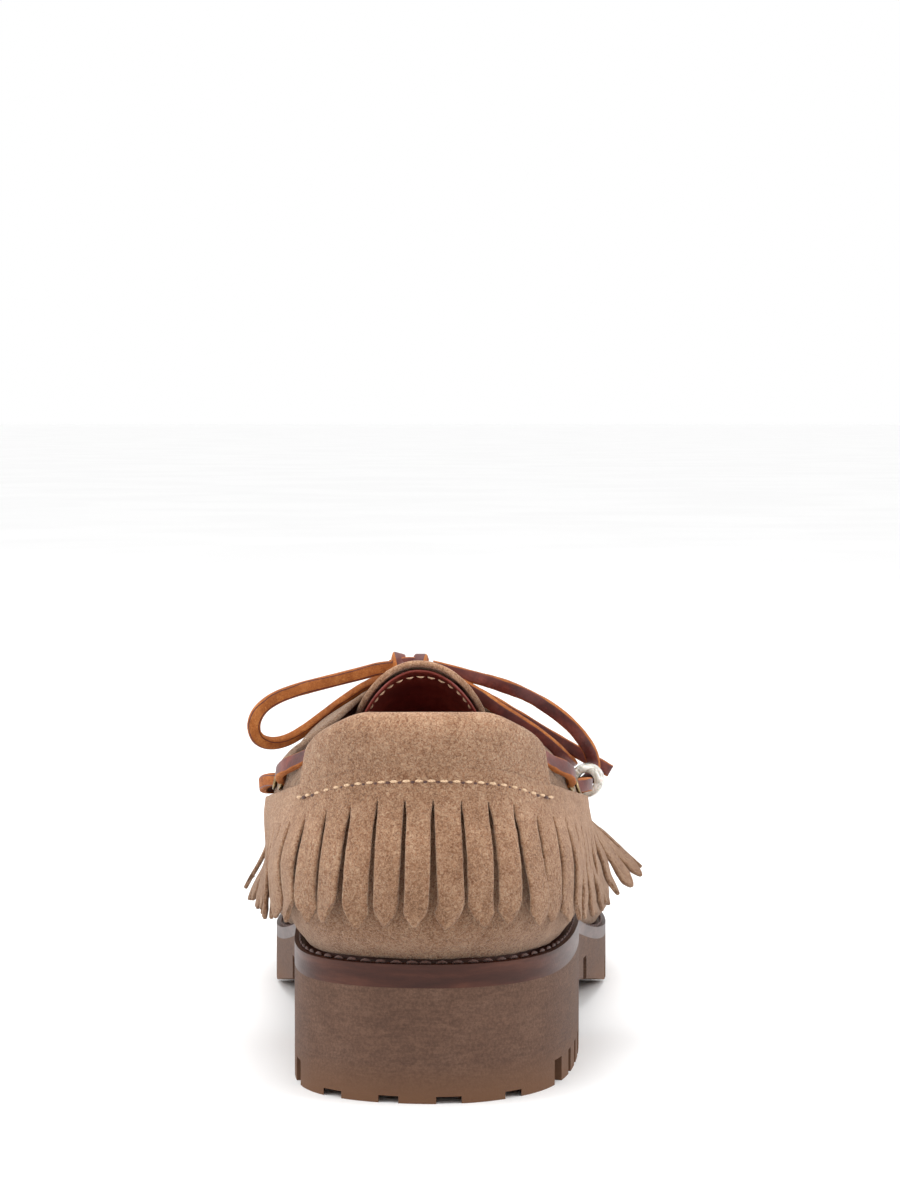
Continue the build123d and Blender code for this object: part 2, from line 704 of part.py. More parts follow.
TUNNEL_HEIGHT = 94.2
TUNNEL_REACH = 41.0        # how far round the lace stays inside the tunnel
TUNNEL_EXIT = [(-12, 90.6, 0.8), (-7, 88.2, 3.0), (-1, 85.5, 3.6), (4.4, 83.6, 2.0),
               (7.4, 82.6, -1.0), (11, 81.9, -3.2)]
SIDE_RUNS = (
    [(12, 81.7, -3.2), (17, 80.9, -3.2), (23, 80.2, -1.2), (28, 79.2, 3.0),
     (36, 78, 4.2), (43, 77.1, 2.4), (48.5, 76.2, -1.6), (55, 76.1, -3.2)],
    [(12, 82.7, -3.2), (17, 82.5, -3.2), (23, 82.1, -1.2), (28, 81, 3.0),
     (36, 78.3, 4.4), (43, 77.1, 2.4), (48.5, 77.5, -1.6), (55, 78, -3.2)],
)
LEFT_LOOP = [(-6.6, 82.5, 110.1), (-13.5, 82, 110.1), (-19.8, 81, 108.4), (-27.1, 79.5, 106.7),
             (-34.2, 78, 105), (-40.8, 76.5, 103.4), (-47.2, 75, 101.1), (-51.8, 73.5, 97.7),
             (-53.8, 73, 93.2), (-52.9, 75.5, 88.5), (-48.9, 79, 86.4), (-43.6, 81.5, 87.2),
             (-37.8, 83.5, 90.6), (-31.7, 86, 95), (-25.6, 87, 99.5), (-18.4, 86.5, 104.4),
             (-10.6, 85.5, 107.3)]
RIGHT_LOOP = [(2.1, 82, 108), (8.5, 79.1, 105.6), (15.3, 77.8, 102.1), (21.7, 76, 97.6),
              (28, 73.6, 93.9), (34.1, 72.3, 89.9), (39.5, 73.2, 85.3), (42.9, 76.6, 81.4),
              (44.5, 81.2, 79.7), (42.9, 86.2, 81.1), (39.3, 89.3, 85.6), (33.9, 89.8, 89.9),
              (27.5, 88.6, 93.8), (20.7, 88, 97.1), (13.3, 87.8, 100.9), (6, 87.6, 104.6),
              (2.1, 86.4, 106.9)]
BEADED_END = [(1.1, 81, 110.3), (7, 81, 108.8), (13.3, 80.8, 107.2), (22.1, 79.5, 105),
              (31.4, 77, 101.5), (39.4, 74.5, 96.7), (44.8, 72.8, 92), (47.8, 73.5, 88.1),
              (50, 76.6, 84.5), (51.1, 77.2, 80.1), (50.4, 72.4, 77.1), (47.8, 62.3, 76.9)]
PLAIN_END = [(2.1, 84, 107.7), (9.9, 84.4, 104.2), (17.7, 84.8, 100.2), (24.6, 84.8, 96.2),
             (31.3, 84.5, 92.2), (39.3, 84.3, 87.3), (46.9, 84, 83.1), (56.4, 83.7, 77.5)]
LACE_BAR = [(-16.3, 106.6, 89.4), (-19, 106.1, 94.6), (-16.9, 105.7, 98),
            (-10.6, 105.6, 98.9), (-1.8, 105.7, 98.3), (7.5, 106, 97), (14.3, 106.8, 95.9),
            (19.9, 107.5, 93.9), (20.3, 107.7, 90.3), (17.5, 108.2, 86.3)]
LEAD_INNER = [(-18.3, 90.9, 95.5), (-21.3, 90.6, 100.2), (-19.9, 91, 103.7),
              (-14.3, 90.2, 106.2), (-8.1, 87.5, 107.8)]
LEAD_OUTER = [(18.4, 92.3, 90.7), (21.7, 91.8, 96.4), (19.3, 92, 99.5), (13.3, 91.5, 102.5),
              (6.5, 91, 105.2), (1.6, 88.5, 107.1)]

lace(tunnel_route(), "heel_lace")
for side, word, rows in ((1, "outer", SIDE_RUNS[0]), (-1, "inner", SIDE_RUNS[1])):
    lace(wall_route(side, rows), f"side_lace_{word}")
lace(LACE_BAR, "lace_bar")
lace(LEAD_INNER, "lace_lead_inner")
lace(LEAD_OUTER, "lace_lead_outer")
lace(LEFT_LOOP, "left_loop")
lace(RIGHT_LOOP, "right_loop")
lace(BEADED_END, "beaded_lace_end")
lace(PLAIN_END, "plain_lace_end")

# Knot -------------------------------------------------------------------------------------
KNOT_CENTRE = (-3.9, 84.0, 109.1)
KNOT_SLOPE = 0.42          # how steeply the tongue falls under the knot
KNOT_SIZE = (15.0, 11.0, 7.0)
with BuildPart(Plane(KNOT_CENTRE, x_dir=(1, 0, 0), z_dir=(0, KNOT_SLOPE, 1))) as knot:
    Box(*KNOT_SIZE)
    fillet(knot.edges(), radius=2.4)
keep(knot, "bow_knot")

# Bead -------------------------------------------------------------------------------------
BEAD_RADIUS = 5.2
BEAD_LENGTH = 6.8
BEAD_BORE = 2.35
BEAD_ROUND = 2.0
LACE_RECESS = 0.8          # how far the lace's end stands inside the bead's mouth

lace_tip, lace_bend = Vector(*BEADED_END[-1]), Vector(*BEADED_END[-2])
bead_axis = (lace_bend - lace_tip).normalized()
bead_mouth = Plane(origin=lace_tip - bead_axis * LACE_RECESS, z_dir=bead_axis)
with BuildPart() as bead:
    with BuildSketch(bead_mouth):
        Circle(BEAD_RADIUS)
        Circle(BEAD_BORE, mode=Mode.SUBTRACT)
    extrude(amount=BEAD_LENGTH)
    rims = bead.edges().filter_by(GeomType.CIRCLE).sort_by(SortBy.RADIUS)[-2:]
    fillet(rims, radius=BEAD_ROUND)
keep(bead, "bead")
print("bead axis", bead_axis)
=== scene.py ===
"""Visual model of the right-foot camp moccasin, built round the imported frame.

Lengths in the tables are millimetres in the frame's own axes: +Y heel to toe, +X outer side,
+Z up. The shape functions are those of the CAD model, sampled finely as meshes.
"""

from math import cos, pi, radians, sin

import bpy
import numpy as np
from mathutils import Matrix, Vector, noise


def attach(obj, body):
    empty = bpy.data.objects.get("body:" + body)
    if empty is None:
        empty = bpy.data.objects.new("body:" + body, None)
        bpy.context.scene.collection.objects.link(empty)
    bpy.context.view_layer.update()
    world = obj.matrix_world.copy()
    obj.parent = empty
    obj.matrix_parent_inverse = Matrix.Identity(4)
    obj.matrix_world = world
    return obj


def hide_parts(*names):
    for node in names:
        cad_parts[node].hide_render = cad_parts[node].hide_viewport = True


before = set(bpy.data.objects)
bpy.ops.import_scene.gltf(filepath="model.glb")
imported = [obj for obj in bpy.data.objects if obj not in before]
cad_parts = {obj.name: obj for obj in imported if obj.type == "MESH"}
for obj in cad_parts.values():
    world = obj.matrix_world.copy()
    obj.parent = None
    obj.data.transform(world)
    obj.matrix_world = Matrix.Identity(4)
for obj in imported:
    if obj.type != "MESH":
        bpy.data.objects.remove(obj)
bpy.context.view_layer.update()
MM = 0.001

# Shape tables ---------------------------------------------------------------------------
SOLE_EDGE = [
    (0, -38), (19.5, -33.2), (32.5, -20.5), (38.5, -6.5), (43.2, 18), (45.3, 48),
    (46, 75), (50.5, 105), (56, 134), (59, 162), (57, 194), (45, 226), (22, 247),
    (-6, 254), (-30, 239), (-45, 210), (-51, 178), (-51, 152), (-46.5, 120),
    (-41, 88), (-38.7, 50), (-38, 12), (-36.5, -8), (-31, -23), (-17.5, -34),
]

# Heights along the shoe: rows of (Y, Z). Pairs are for the outer side and the inner side -----
SOLE_TOP = [(-38, 38.5), (42, 38.5), (62, 36.5), (92, 29), (122, 22.5), (150, 19),
            (180, 18), (210, 19.5), (254, 25)]
TOP_EDGE = ([(-38, 107.3), (-31, 106.4), (-24, 102.7), (-16, 94.6), (-8, 89.4), (7, 86.1),
             (32, 83.3), (50, 84.3), (64, 90), (77, 97.2), (92, 95.8), (112, 88.2), (142, 74.8),
             (177, 64.1), (207, 57.8), (232, 53.4), (254, 50.5)],
            [(-38, 107.3), (-31, 106.4), (-24, 102.7), (-16, 94.6), (-8, 89.4), (7, 87.5),
             (32, 86.6), (50, 88.6), (64, 95.3), (77, 102.9), (92, 100.1), (112, 90.6),
             (142, 75.7), (177, 64.1), (207, 57.8), (232, 53.4), (254, 50.5)])
SHOULDER = ([(-38, 80.3), (-18, 78.4), (7, 74.6), (32, 72.7), (50, 74.6), (64, 78.5), (77, 82.4),
             (92, 80.5), (112, 72.8), (142, 61.2), (177, 52.4), (207, 47.5), (254, 44.6)],
            [(-38, 80.3), (-18, 78.4), (7, 74.6), (32, 73.6), (50, 76.6), (64, 82.4), (77, 86.2),
             (92, 84.3), (112, 75.7), (142, 63.1), (177, 52.4), (207, 47.5), (254, 44.6)])
SEAM = [(-38, 88.8), (-33, 87.2), (-25, 83.5), (-10, 79), (8, 75.5), (32, 72), (70, 68),
        (88, 70.5), (104, 79.5), (116, 93)]
FRINGE_TIP = ([(-38, 49), (-10, 46), (12, 43.5), (40, 43), (56, 46), (70, 50)],
              [(-38, 49), (-10, 46), (12, 43.5), (40, 42), (56, 41), (70, 42)])
TONGUE_CROWN = [(64, 111.9), (72, 109.6), (84, 104.9), (102, 95.9), (112, 89.6), (120, 84.4)]

# Distance outward from the sole's edge: rows of (Y, distance), outer side and inner side ------
BASE_INSET = -3.5
BELLY_SHARE = 0.3          # height of the widest line, from the sole to the shoulder
BELLY_OUT = ([(-38, 2), (0, 1.5), (32, 1.2), (112, 0.5), (177, 1), (254, 1.5)],
             [(-38, 2), (0, 2.5), (32, 5.5), (77, 6), (112, 4.5), (142, 3), (254, 1.5)])
SHOULDER_OUT = ([(-38, 0.5), (-18, 0), (7, 0.3), (32, 0.2), (50, -1), (64, -4.5), (77, -8),
                 (92, -12), (112, -15), (142, -9), (177, -6), (254, -6)],
                [(-38, 0.5), (-18, 0.5), (7, 4), (32, 6.4), (50, 6), (64, 2.5), (77, -1),
                 (92, -5), (112, -8), (142, -5), (177, -5), (254, -6)])
TOP_OUT = ([(-38, -4), (-23, -3.5), (-16, -3), (7, -2.6), (32, -2.2), (50, -7),
            (64, -18), (77, -28), (92, -33), (112, -36), (142, -28), (177, -21), (254, -20)],
           [(-38, -4), (-23, -3.5), (-16, -2), (7, 1.5), (32, 4.3), (50, 1), (64, -10),
            (77, -21), (92, -27), (112, -31), (142, -22.5), (177, -20), (254, -20)])
FRINGE_OUT = ([(-38, 6), (-10, 5), (12, 5), (37, 9), (54, 17), (66, 21)],
              [(-38, 6), (-10, 6), (12, 8.5), (37, 13), (54, 15.5), (66, 17)])
LINING_INSET = [(-38, 2.7), (-14, 2.9), (2, 5.0), (120, 5.0)]

# Laces: rows of (Y, Z, distance off the face), and points on free runs ---------------------
TUNNEL_HEIGHT = 94.2
TUNNEL_REACH = 41.0        # how far round the lace stays inside the tunnel
TUNNEL_EXIT = [(-12, 90.6, 0.8), (-7, 88.2, 3.0), (-1, 85.5, 3.6), (4.4, 83.6, 2.0),
               (7.4, 82.6, -1.0), (11, 81.9, -3.2)]

SIDE_RUNS = (
    [(12, 81.7, -3.2), (17, 80.9, -3.2), (23, 80.2, -1.2), (28, 79.2, 3.0),
     (36, 78, 4.2), (43, 77.1, 2.4), (48.5, 76.2, -1.6), (55, 76.1, -3.2)],
    [(12, 82.7, -3.2), (17, 82.5, -3.2), (23, 82.1, -1.2), (28, 81, 3.0),
     (36, 78.3, 4.4), (43, 77.1, 2.4), (48.5, 77.5, -1.6), (55, 78, -3.2)],
)

LEFT_LOOP = [(-6.6, 82.5, 110.1), (-13.5, 82, 110.1), (-19.8, 81, 108.4), (-27.1, 79.5, 106.7),
             (-34.2, 78, 105), (-40.8, 76.5, 103.4), (-47.2, 75, 101.1), (-51.8, 73.5, 97.7),
             (-53.8, 73, 93.2), (-52.9, 75.5, 88.5), (-48.9, 79, 86.4), (-43.6, 81.5, 87.2),
             (-37.8, 83.5, 90.6), (-31.7, 86, 95), (-25.6, 87, 99.5), (-18.4, 86.5, 104.4),
             (-10.6, 85.5, 107.3)]
RIGHT_LOOP = [(2.1, 82, 108), (8.5, 79.1, 105.6), (15.3, 77.8, 102.1), (21.7, 76, 97.6),
              (28, 73.6, 93.9), (34.1, 72.3, 89.9), (39.5, 73.2, 85.3), (42.9, 76.6, 81.4),
              (44.5, 81.2, 79.7), (42.9, 86.2, 81.1), (39.3, 89.3, 85.6), (33.9, 89.8, 89.9),
              (27.5, 88.6, 93.8), (20.7, 88, 97.1), (13.3, 87.8, 100.9), (6, 87.6, 104.6),
              (2.1, 86.4, 106.9)]
BEADED_END = [(1.1, 81, 110.3), (7, 81, 108.8), (13.3, 80.8, 107.2), (22.1, 79.5, 105),
              (31.4, 77, 101.5), (39.4, 74.5, 96.7), (44.8, 72.8, 92), (47.8, 73.5, 88.1),
              (50, 76.6, 84.5), (51.1, 77.2, 80.1), (50.4, 72.4, 77.1), (47.8, 62.3, 76.9)]
PLAIN_END = [(2.1, 84, 107.7), (9.9, 84.4, 104.2), (17.7, 84.8, 100.2), (24.6, 84.8, 96.2),
             (31.3, 84.5, 92.2), (39.3, 84.3, 87.3), (46.9, 84, 83.1), (56.4, 83.7, 77.5)]
LACE_BAR = [(-16.3, 106.6, 89.4), (-19, 106.1, 94.6), (-16.9, 105.7, 98),
            (-10.6, 105.6, 98.9), (-1.8, 105.7, 98.3), (7.5, 106, 97), (14.3, 106.8, 95.9),
            (19.9, 107.5, 93.9), (20.3, 107.7, 90.3), (17.5, 108.2, 86.3)]
LEAD_INNER = [(-18.3, 90.9, 95.5), (-21.3, 90.6, 100.2), (-19.9, 91, 103.7),
              (-14.3, 90.2, 106.2), (-8.1, 87.5, 107.8)]
LEAD_OUTER = [(18.4, 92.3, 90.7), (21.7, 91.8, 96.4), (19.3, 92, 99.5), (13.3, 91.5, 102.5),
              (6.5, 91, 105.2), (1.6, 88.5, 107.1)]

COLLAR_REACH = 43.0
COLLAR_LEATHER = 1.4
TUNNEL = 4.4
SUEDE = 1.4
LINING = 0.9
BODY_END = 70.0
LINING_END = 80.0
BASE_LIFT = 0.012
SEAM_OVERLAP = 4.0
EYESTAY_END = 112.0
FACING_SHARE = 0.88
FACING_TAPER = 60.0
GAP = 0.1
FRINGE_END = 66.0
SIDE_EYELETS = ([(7, 82.7), (25, 79.8), (47, 76.5)], [(7, 83.6), (25, 81.7), (47, 77.9)])
FRONT_EYELETS = [(88, 0.93), (102, 0.93)]
APRON_START = 113.5
APRON_END = 231.0
APRON_CROWN = [(113, 2.5), (135, 4), (170, 6), (210, 6), (231, 2)]
APRON_EDGE_GAP = 0.9
TONGUE_CENTRE = -2.3
TONGUE_HALF = [(64, 8), (66.5, 13), (71, 17.5), (78, 19.5), (95, 20.5), (120, 20)]
TONGUE_DROP = 15.5
TONGUE_ARCH = 2.2

# Shape functions ------------------------------------------------------------------------


def hermite(t, v0, m0, v1, m1):
    """Cubic from v0 to v1 with the slopes m0 and m1, both per whole span."""
    return ((2 * t**3 - 3 * t**2 + 1) * v0 + (t**3 - 2 * t**2 + t) * m0
            + (3 * t**2 - 2 * t**3) * v1 + (t**3 - t**2) * m1)


def smooth(table, at):
    """Values at keys of a table of (key, value) rows, on a smooth curve through them."""
    keys, values = np.array(table, float).T
    at = np.clip(np.asarray(at, float), keys[0], keys[-1])
    slopes = np.empty(len(keys))
    slopes[1:-1] = (values[2:] - values[:-2]) / (keys[2:] - keys[:-2])
    slopes[0] = (values[1] - values[0]) / (keys[1] - keys[0])
    slopes[-1] = (values[-1] - values[-2]) / (keys[-1] - keys[-2])
    i = np.clip(np.searchsorted(keys, at, side="right") - 1, 0, len(keys) - 2)
    span = keys[i + 1] - keys[i]
    return hermite((at - keys[i]) / span, values[i], slopes[i] * span,
                   values[i + 1], slopes[i + 1] * span)


def through(knots, at):
    """Smooth curve through equally spaced knots, one array of values to each knot."""
    knots = np.stack(np.broadcast_arrays(*knots))
    last = len(knots) - 1
    slopes = np.empty_like(knots)
    slopes[1:-1] = (knots[2:] - knots[:-2]) / 2
    slopes[0] = knots[1] - knots[0]
    slopes[-1] = knots[-1] - knots[-2]
    at = np.clip(at, 0, last)
    shape = np.broadcast_shapes(knots.shape[1:], np.shape(at))
    at = np.broadcast_to(at, shape)
    i = np.clip(at.astype(int), 0, last - 1)
    knots = np.broadcast_to(knots, (last + 1, *shape))
    slopes = np.broadcast_to(slopes, (last + 1, *shape))

    def pick(values, index):
        return np.take_along_axis(values, index[None], 0)[0]

    return hermite(at - i, pick(knots, i), pick(slopes, i),
                   pick(knots, i + 1), pick(slopes, i + 1))


def closed_outline(points, samples=120):
    """Smooth closed curve through points: arc lengths, and X, Y with the direction there."""
    p = np.array(points, float)
    count = len(p)
    chord = np.linalg.norm(np.roll(p, -1, 0) - p, axis=1)
    matrix, right = np.zeros((count, count)), np.zeros((count, 2))
    for i in range(count):
        before, after, nxt = chord[i - 1], chord[i], (i + 1) % count
        matrix[i, i - 1], matrix[i, i], matrix[i, nxt] = after, 2 * (before + after), before
        right[i] = 3 * (after * (p[i] - p[i - 1]) / before + before * (p[nxt] - p[i]) / after)
    slope = np.linalg.solve(matrix, right)
    t = np.arange(samples)[:, None] / samples
    after = np.roll(np.arange(count), -1)
    runs = [hermite(t, p[i], slope[i] * chord[i], p[k], slope[k] * chord[i])
            for i, k in enumerate(after)]
    line = np.concatenate([*runs, p[:1]])
    lengths = np.concatenate([[0], np.cumsum(np.linalg.norm(np.diff(line, axis=0), axis=1))])
    ahead, behind = np.roll(line[:-1], -1, 0), np.roll(line[:-1], 1, 0)
    run = (ahead - behind) / np.linalg.norm(ahead - behind, axis=1)[:, None]
    return lengths, line, np.concatenate([run, run[:1]])


EDGE_LENGTHS, EDGE_LINE, EDGE_RUN = closed_outline(SOLE_EDGE)
EDGE_LENGTH = EDGE_LENGTHS[-1]


def edge_at(along):
    """X, Y on the sole's edge and the outward direction there, so far round from the back."""
    at = np.mod(along, EDGE_LENGTH)
    x, y, run_x, run_y = (np.interp(at, EDGE_LENGTHS, column)
                          for column in (*EDGE_LINE.T, *EDGE_RUN.T))
    return x, y, run_y, -run_x


def along_at(y, side):
    """How far round the edge lies the point at this Y, on the outer (1) or inner (-1) side."""
    low, high = 0.0, EDGE_LENGTH / 2
    for _ in range(40):
        middle = (low + high) / 2
        if edge_at(side * middle)[1] < y:
            low = middle
        else:
            high = middle
    return side * low


def wall_flat(along, share):
    """Face of the upper in its station's plane: outward and Z, then the outward normal."""
    y = edge_at(along)[1]
    on_outer = np.mod(along, EDGE_LENGTH) < EDGE_LENGTH / 2

    def pick(pair):
        return np.where(on_outer, smooth(pair[0], y), smooth(pair[1], y))

    base, shoulder = smooth(SOLE_TOP, y), pick(SHOULDER)
    belly = base + BELLY_SHARE * (shoulder - base)
    outs = (np.full_like(y, BASE_INSET), pick(BELLY_OUT), pick(SHOULDER_OUT), pick(TOP_OUT))
    heights = (base, belly, shoulder, pick(TOP_EDGE))
    at, step = np.asarray(share) * 3, 0.02
    low, high = np.maximum(at - step, 0), np.minimum(at + step, 3)
    dn = through(outs, high) - through(outs, low)
    dz = through(heights, high) - through(heights, low)
    length = np.hypot(dn, dz)
    return through(outs, at), through(heights, at), dz / length, -dn / length


def wall(along, share, out=0.0, lift=0.0):
    """Points of the wall: out lies off the face along its normal, lift up along the face."""
    n, z, normal_n, normal_z = wall_flat(along, share)
    n = n + out * normal_n - lift * normal_z
    z = z + out * normal_z + lift * normal_n
    x, y, out_x, out_y = edge_at(along)
    return np.stack([x + n * out_x, y + n * out_y, z], -1)


def share_at(along, height):
    """Share of the wall's height at which its face reaches a height above the floor."""
    along = np.asarray(along, float)
    low, high = np.zeros_like(along), np.ones_like(along)
    for _ in range(30):
        middle = (low + high) / 2
        below = wall_flat(along, middle)[1] < height
        low, high = np.where(below, middle, low), np.where(below, high, middle)
    return (low + high) / 2


def lining_depth(along):
    """Distance of the lining's outer face inside the upper's outer face."""
    return smooth(LINING_INSET, edge_at(along)[1])


def seam_share(along, lift=0.0):
    """Share of the wall's height at the seam that the fringe hangs from."""
    along = np.asarray(along, float)
    y = edge_at(along)[1]
    sewn = np.minimum(share_at(along, smooth(SEAM, y) + lift), FACING_SHARE + 0.01 * (lift > 0))
    front = np.minimum(1.0, FACING_SHARE + (y - EYESTAY_END) / FACING_TAPER)
    return np.where(y <= EYESTAY_END, sewn, front)


def top_edge_at(y, side):
    """Point of the wall's top edge at this Y on one side."""
    low, high = 0.0, EDGE_LENGTH / 2
    for _ in range(30):
        point = wall(np.array(side * (low + high) / 2), 1.0)
        if point[1] < y:
            low = (low + high) / 2
        else:
            high = (low + high) / 2
    return point


# Mesh helpers ---------------------------------------------------------------------------


def fractal(points, size, seed, octaves=3):
    """Smooth noise from -1 to 1 at points in millimetres, with features of one size."""
    flat = np.reshape(points, (-1, 3)) / size + seed * 17.3
    values = [noise.fractal(Vector(p), 1.0, 2.0, octaves) for p in flat]
    return np.reshape(values, np.shape(points)[:-1])


def new_piece(name, verts, faces, material, body="shoe"):
    """Mesh object from points in millimetres, with its material, riding on a body."""
    mesh = bpy.data.meshes.new(name)
    mesh.from_pydata((np.reshape(verts, (-1, 3)) * MM).tolist(), [], faces)
    mesh.validate()
    mesh.shade_smooth()
    for each in material if isinstance(material, (list, tuple)) else [material]:
        mesh.materials.append(each)
    piece = bpy.data.objects.new(name, mesh)
    bpy.context.scene.collection.objects.link(piece)
    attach(piece, body)
    return piece


def grid_faces(rows, columns, closed=False, offset=0):
    """Quads of a grid of points stored row by row. A closed grid joins its last column."""
    faces = []
    for i in range(rows - 1):
        for j in range(columns if closed else columns - 1):
            k = (j + 1) % columns
            faces.append((offset + i * columns + j, offset + (i + 1) * columns + j,
                          offset + (i + 1) * columns + k, offset + i * columns + k))
    return faces


def thicken(piece, thickness):
    """Gives a surface its leather thickness, inward, and rounds its cut edges."""
    solid = piece.modifiers.new("thickness", "SOLIDIFY")
    solid.thickness = thickness * MM
    solid.offset = -1
    solid.use_even_offset = False
    rounding = piece.modifiers.new("rounding", "SUBSURF")
    rounding.levels = 1
    rounding.render_levels = 1
    return piece


def wall_piece(name, alongs, low, high, out, thickness, material, rows=26, ripple=0.35,
               ripple_size=22.0, seed=1, path=None):
    """Leather sheet on the wall between two shares of its height. path rows of (out, lift)
    carry the sheet on past its upper edge."""
    alongs = np.asarray(alongs, float)[:, None]
    low, high, out = (np.reshape(np.broadcast_to(f(alongs), alongs.shape), (-1, 1))
                      for f in (low, high, out))
    t = np.linspace(0, 1, rows)[None]
    share = low + (high - low) * t
    base = wall(alongs, share)
    bump = ripple * fractal(base, ripple_size, seed)
    points = wall(alongs, share, out + bump)
    if path:
        extra = [wall(alongs, high, out + bump[:, -1:] + step, lift) for step, lift in path]
        points = np.concatenate([points, *extra], axis=1)
    faces = grid_faces(points.shape[0], points.shape[1])
    return thicken(new_piece(name, points, faces, material), thickness)


def stretch(first, last, step):
    """Evenly spaced values at most a step apart."""
    return np.linspace(first, last, max(2, int(np.ceil(abs(last - first) / step)) + 1))


def lathe(profile, centre, axis, segments=40):
    """Points and faces of a closed profile of (radius, height) rows turned about an axis."""
    axis = Vector(axis).normalized()
    across = axis.orthogonal().normalized()
    third = axis.cross(across)
    turn = np.linspace(0, 2 * pi, segments, endpoint=False)[:, None]
    radius, height = np.array(profile, float).T
    points = (np.array(centre) + radius[None, :, None] * (np.cos(turn)[..., None] * np.array(across)
              + np.sin(turn)[..., None] * np.array(third)) + height[None, :, None] * np.array(axis))
    points = np.concatenate([points, points[:1]])
    return points, segments, len(profile)


def lathe_faces(segments, count, offset=0):
    """Quads of a turned closed profile."""
    faces = []
    for i in range(segments):
        for j in range(count):
            i2, j2 = (i + 1) % segments, (j + 1) % count
            corners = ((i, j), (i2, j), (i2, j2), (i, j2))
            faces.append(tuple(offset + a * count + b for a, b in corners))
    return faces


def spline_points(name, points, step):
    """Even points, in millimetres, along the NURBS curve with these control points."""
    curve = bpy.data.curves.new(name, "CURVE")
    curve.dimensions = "3D"
    curve.resolution_u = 24
    spline = curve.splines.new("NURBS")
    spline.points.add(len(points) - 1)
    for control, point in zip(spline.points, points):
        control.co = (*(float(v) * MM for v in point), 1.0)
    spline.order_u = 3
    spline.use_endpoint_u = True
    holder = bpy.data.objects.new(name, curve)
    bpy.context.scene.collection.objects.link(holder)
    mesh = bpy.data.meshes.new_from_object(holder)
    line = np.array([v.co for v in mesh.vertices]) / MM
    bpy.data.objects.remove(holder)
    bpy.data.curves.remove(curve)
    bpy.data.meshes.remove(mesh)
    lengths = np.concatenate([[0], np.cumsum(np.linalg.norm(np.diff(line, axis=0), axis=1))])
    at = np.linspace(0, lengths[-1], max(4, int(lengths[-1] / step)))
    return np.stack([np.interp(at, lengths, line[:, i]) for i in range(3)], -1), lengths[-1]


# Materials ------------------------------------------------------------------------------


def srgb(red, green, blue):
    """Linear colour of an sRGB colour given from 0 to 255."""
    channels = (c / 255 for c in (red, green, blue))
    return (*(c / 12.92 if c <= 0.04045 else ((c + 0.055) / 1.055) ** 2.4 for c in channels), 1.0)


class Look:
    """A procedural material under construction, in the object's own coordinates."""

    def __init__(self, name, roughness, **sockets):
        self.material = bpy.data.materials.new(name)
        self.material.use_nodes = True
        self.nodes = self.material.node_tree.nodes
        self.links = self.material.node_tree.links
        self.shader = self.nodes["Principled BSDF"]
        self.shader.inputs["Roughness"].default_value = roughness
        for socket, value in sockets.items():
            self.shader.inputs[socket.replace("_", " ")].default_value = value
        self.place = self.nodes.new("ShaderNodeTexCoord").outputs["Object"]
        self.height = None

    def noise(self, size, detail=3.0, rough=0.6, stretch_by=None, distortion=0.0):
        """Noise with features of a size in millimetres, from 0 to 1."""
        place = self.place
        if stretch_by:
            mapping = self.nodes.new("ShaderNodeMapping")
            mapping.inputs["Scale"].default_value = stretch_by
            self.links.new(place, mapping.inputs["Vector"])
            place = mapping.outputs["Vector"]
        node = self.nodes.new("ShaderNodeTexNoise")
        node.inputs["Scale"].default_value = 1 / (size * MM)
        node.inputs["Detail"].default_value = detail
        node.inputs["Roughness"].default_value = rough
        node.inputs["Distortion"].default_value = distortion
        self.links.new(place, node.inputs["Vector"])
        return node.outputs["Fac"]

    def rise(self, low, high):
        """Height above the ground, from 0 at a low level to 1 at a high one."""
        split = self.nodes.new("ShaderNodeSeparateXYZ")
        self.links.new(self.place, split.inputs["Vector"])
        level = self.nodes.new("ShaderNodeMapRange")
        level.inputs["From Min"].default_value = low * MM
        level.inputs["From Max"].default_value = high * MM
        self.links.new(split.outputs["Z"], level.inputs["Value"])
        return level.outputs["Result"]

    def ramp(self, factor, *stops):
        """Colour that runs through stops of (position, colour)."""
        node = self.nodes.new("ShaderNodeValToRGB")
        elements = node.color_ramp.elements
        while len(elements) < len(stops):
            elements.new(0.5)
        for element, (position, colour) in zip(elements, stops):
            element.position = position
            element.color = colour
        self.links.new(factor, node.inputs["Fac"])
        return node.outputs["Color"]

    def mix(self, factor, first, second, mode="MIX"):
        """Blend of two colours, by a socket or by a number."""
        node = self.nodes.new("ShaderNodeMix")
        node.data_type = "RGBA"
        node.blend_type = mode
        for socket, value in ((node.inputs[0], factor), (node.inputs[6], first),
                              (node.inputs[7], second)):
            if isinstance(value, bpy.types.NodeSocket):
                self.links.new(value, socket)
            else:
                socket.default_value = value
        return node.outputs[2]

    def colour(self, socket):
        self.links.new(socket, self.shader.inputs["Base Color"])
        return self

    def roughness(self, factor, low, high):
        """Roughness that varies with a factor."""
        node = self.nodes.new("ShaderNodeMapRange")
        node.inputs["To Min"].default_value = low
        node.inputs["To Max"].default_value = high
        self.links.new(factor, node.inputs["Value"])
        self.links.new(node.outputs["Result"], self.shader.inputs["Roughness"])
        return self

    def bump(self, factor, depth, strength=1.0):
        """Adds relief of a depth in millimetres."""
        node = self.nodes.new("ShaderNodeBump")
        node.inputs["Distance"].default_value = depth * MM
        node.inputs["Strength"].default_value = strength
        self.links.new(factor, node.inputs["Height"])
        if self.height:
            self.links.new(self.height, node.inputs["Normal"])
        self.height = node.outputs["Normal"]
        self.links.new(self.height, self.shader.inputs["Normal"])
        return self


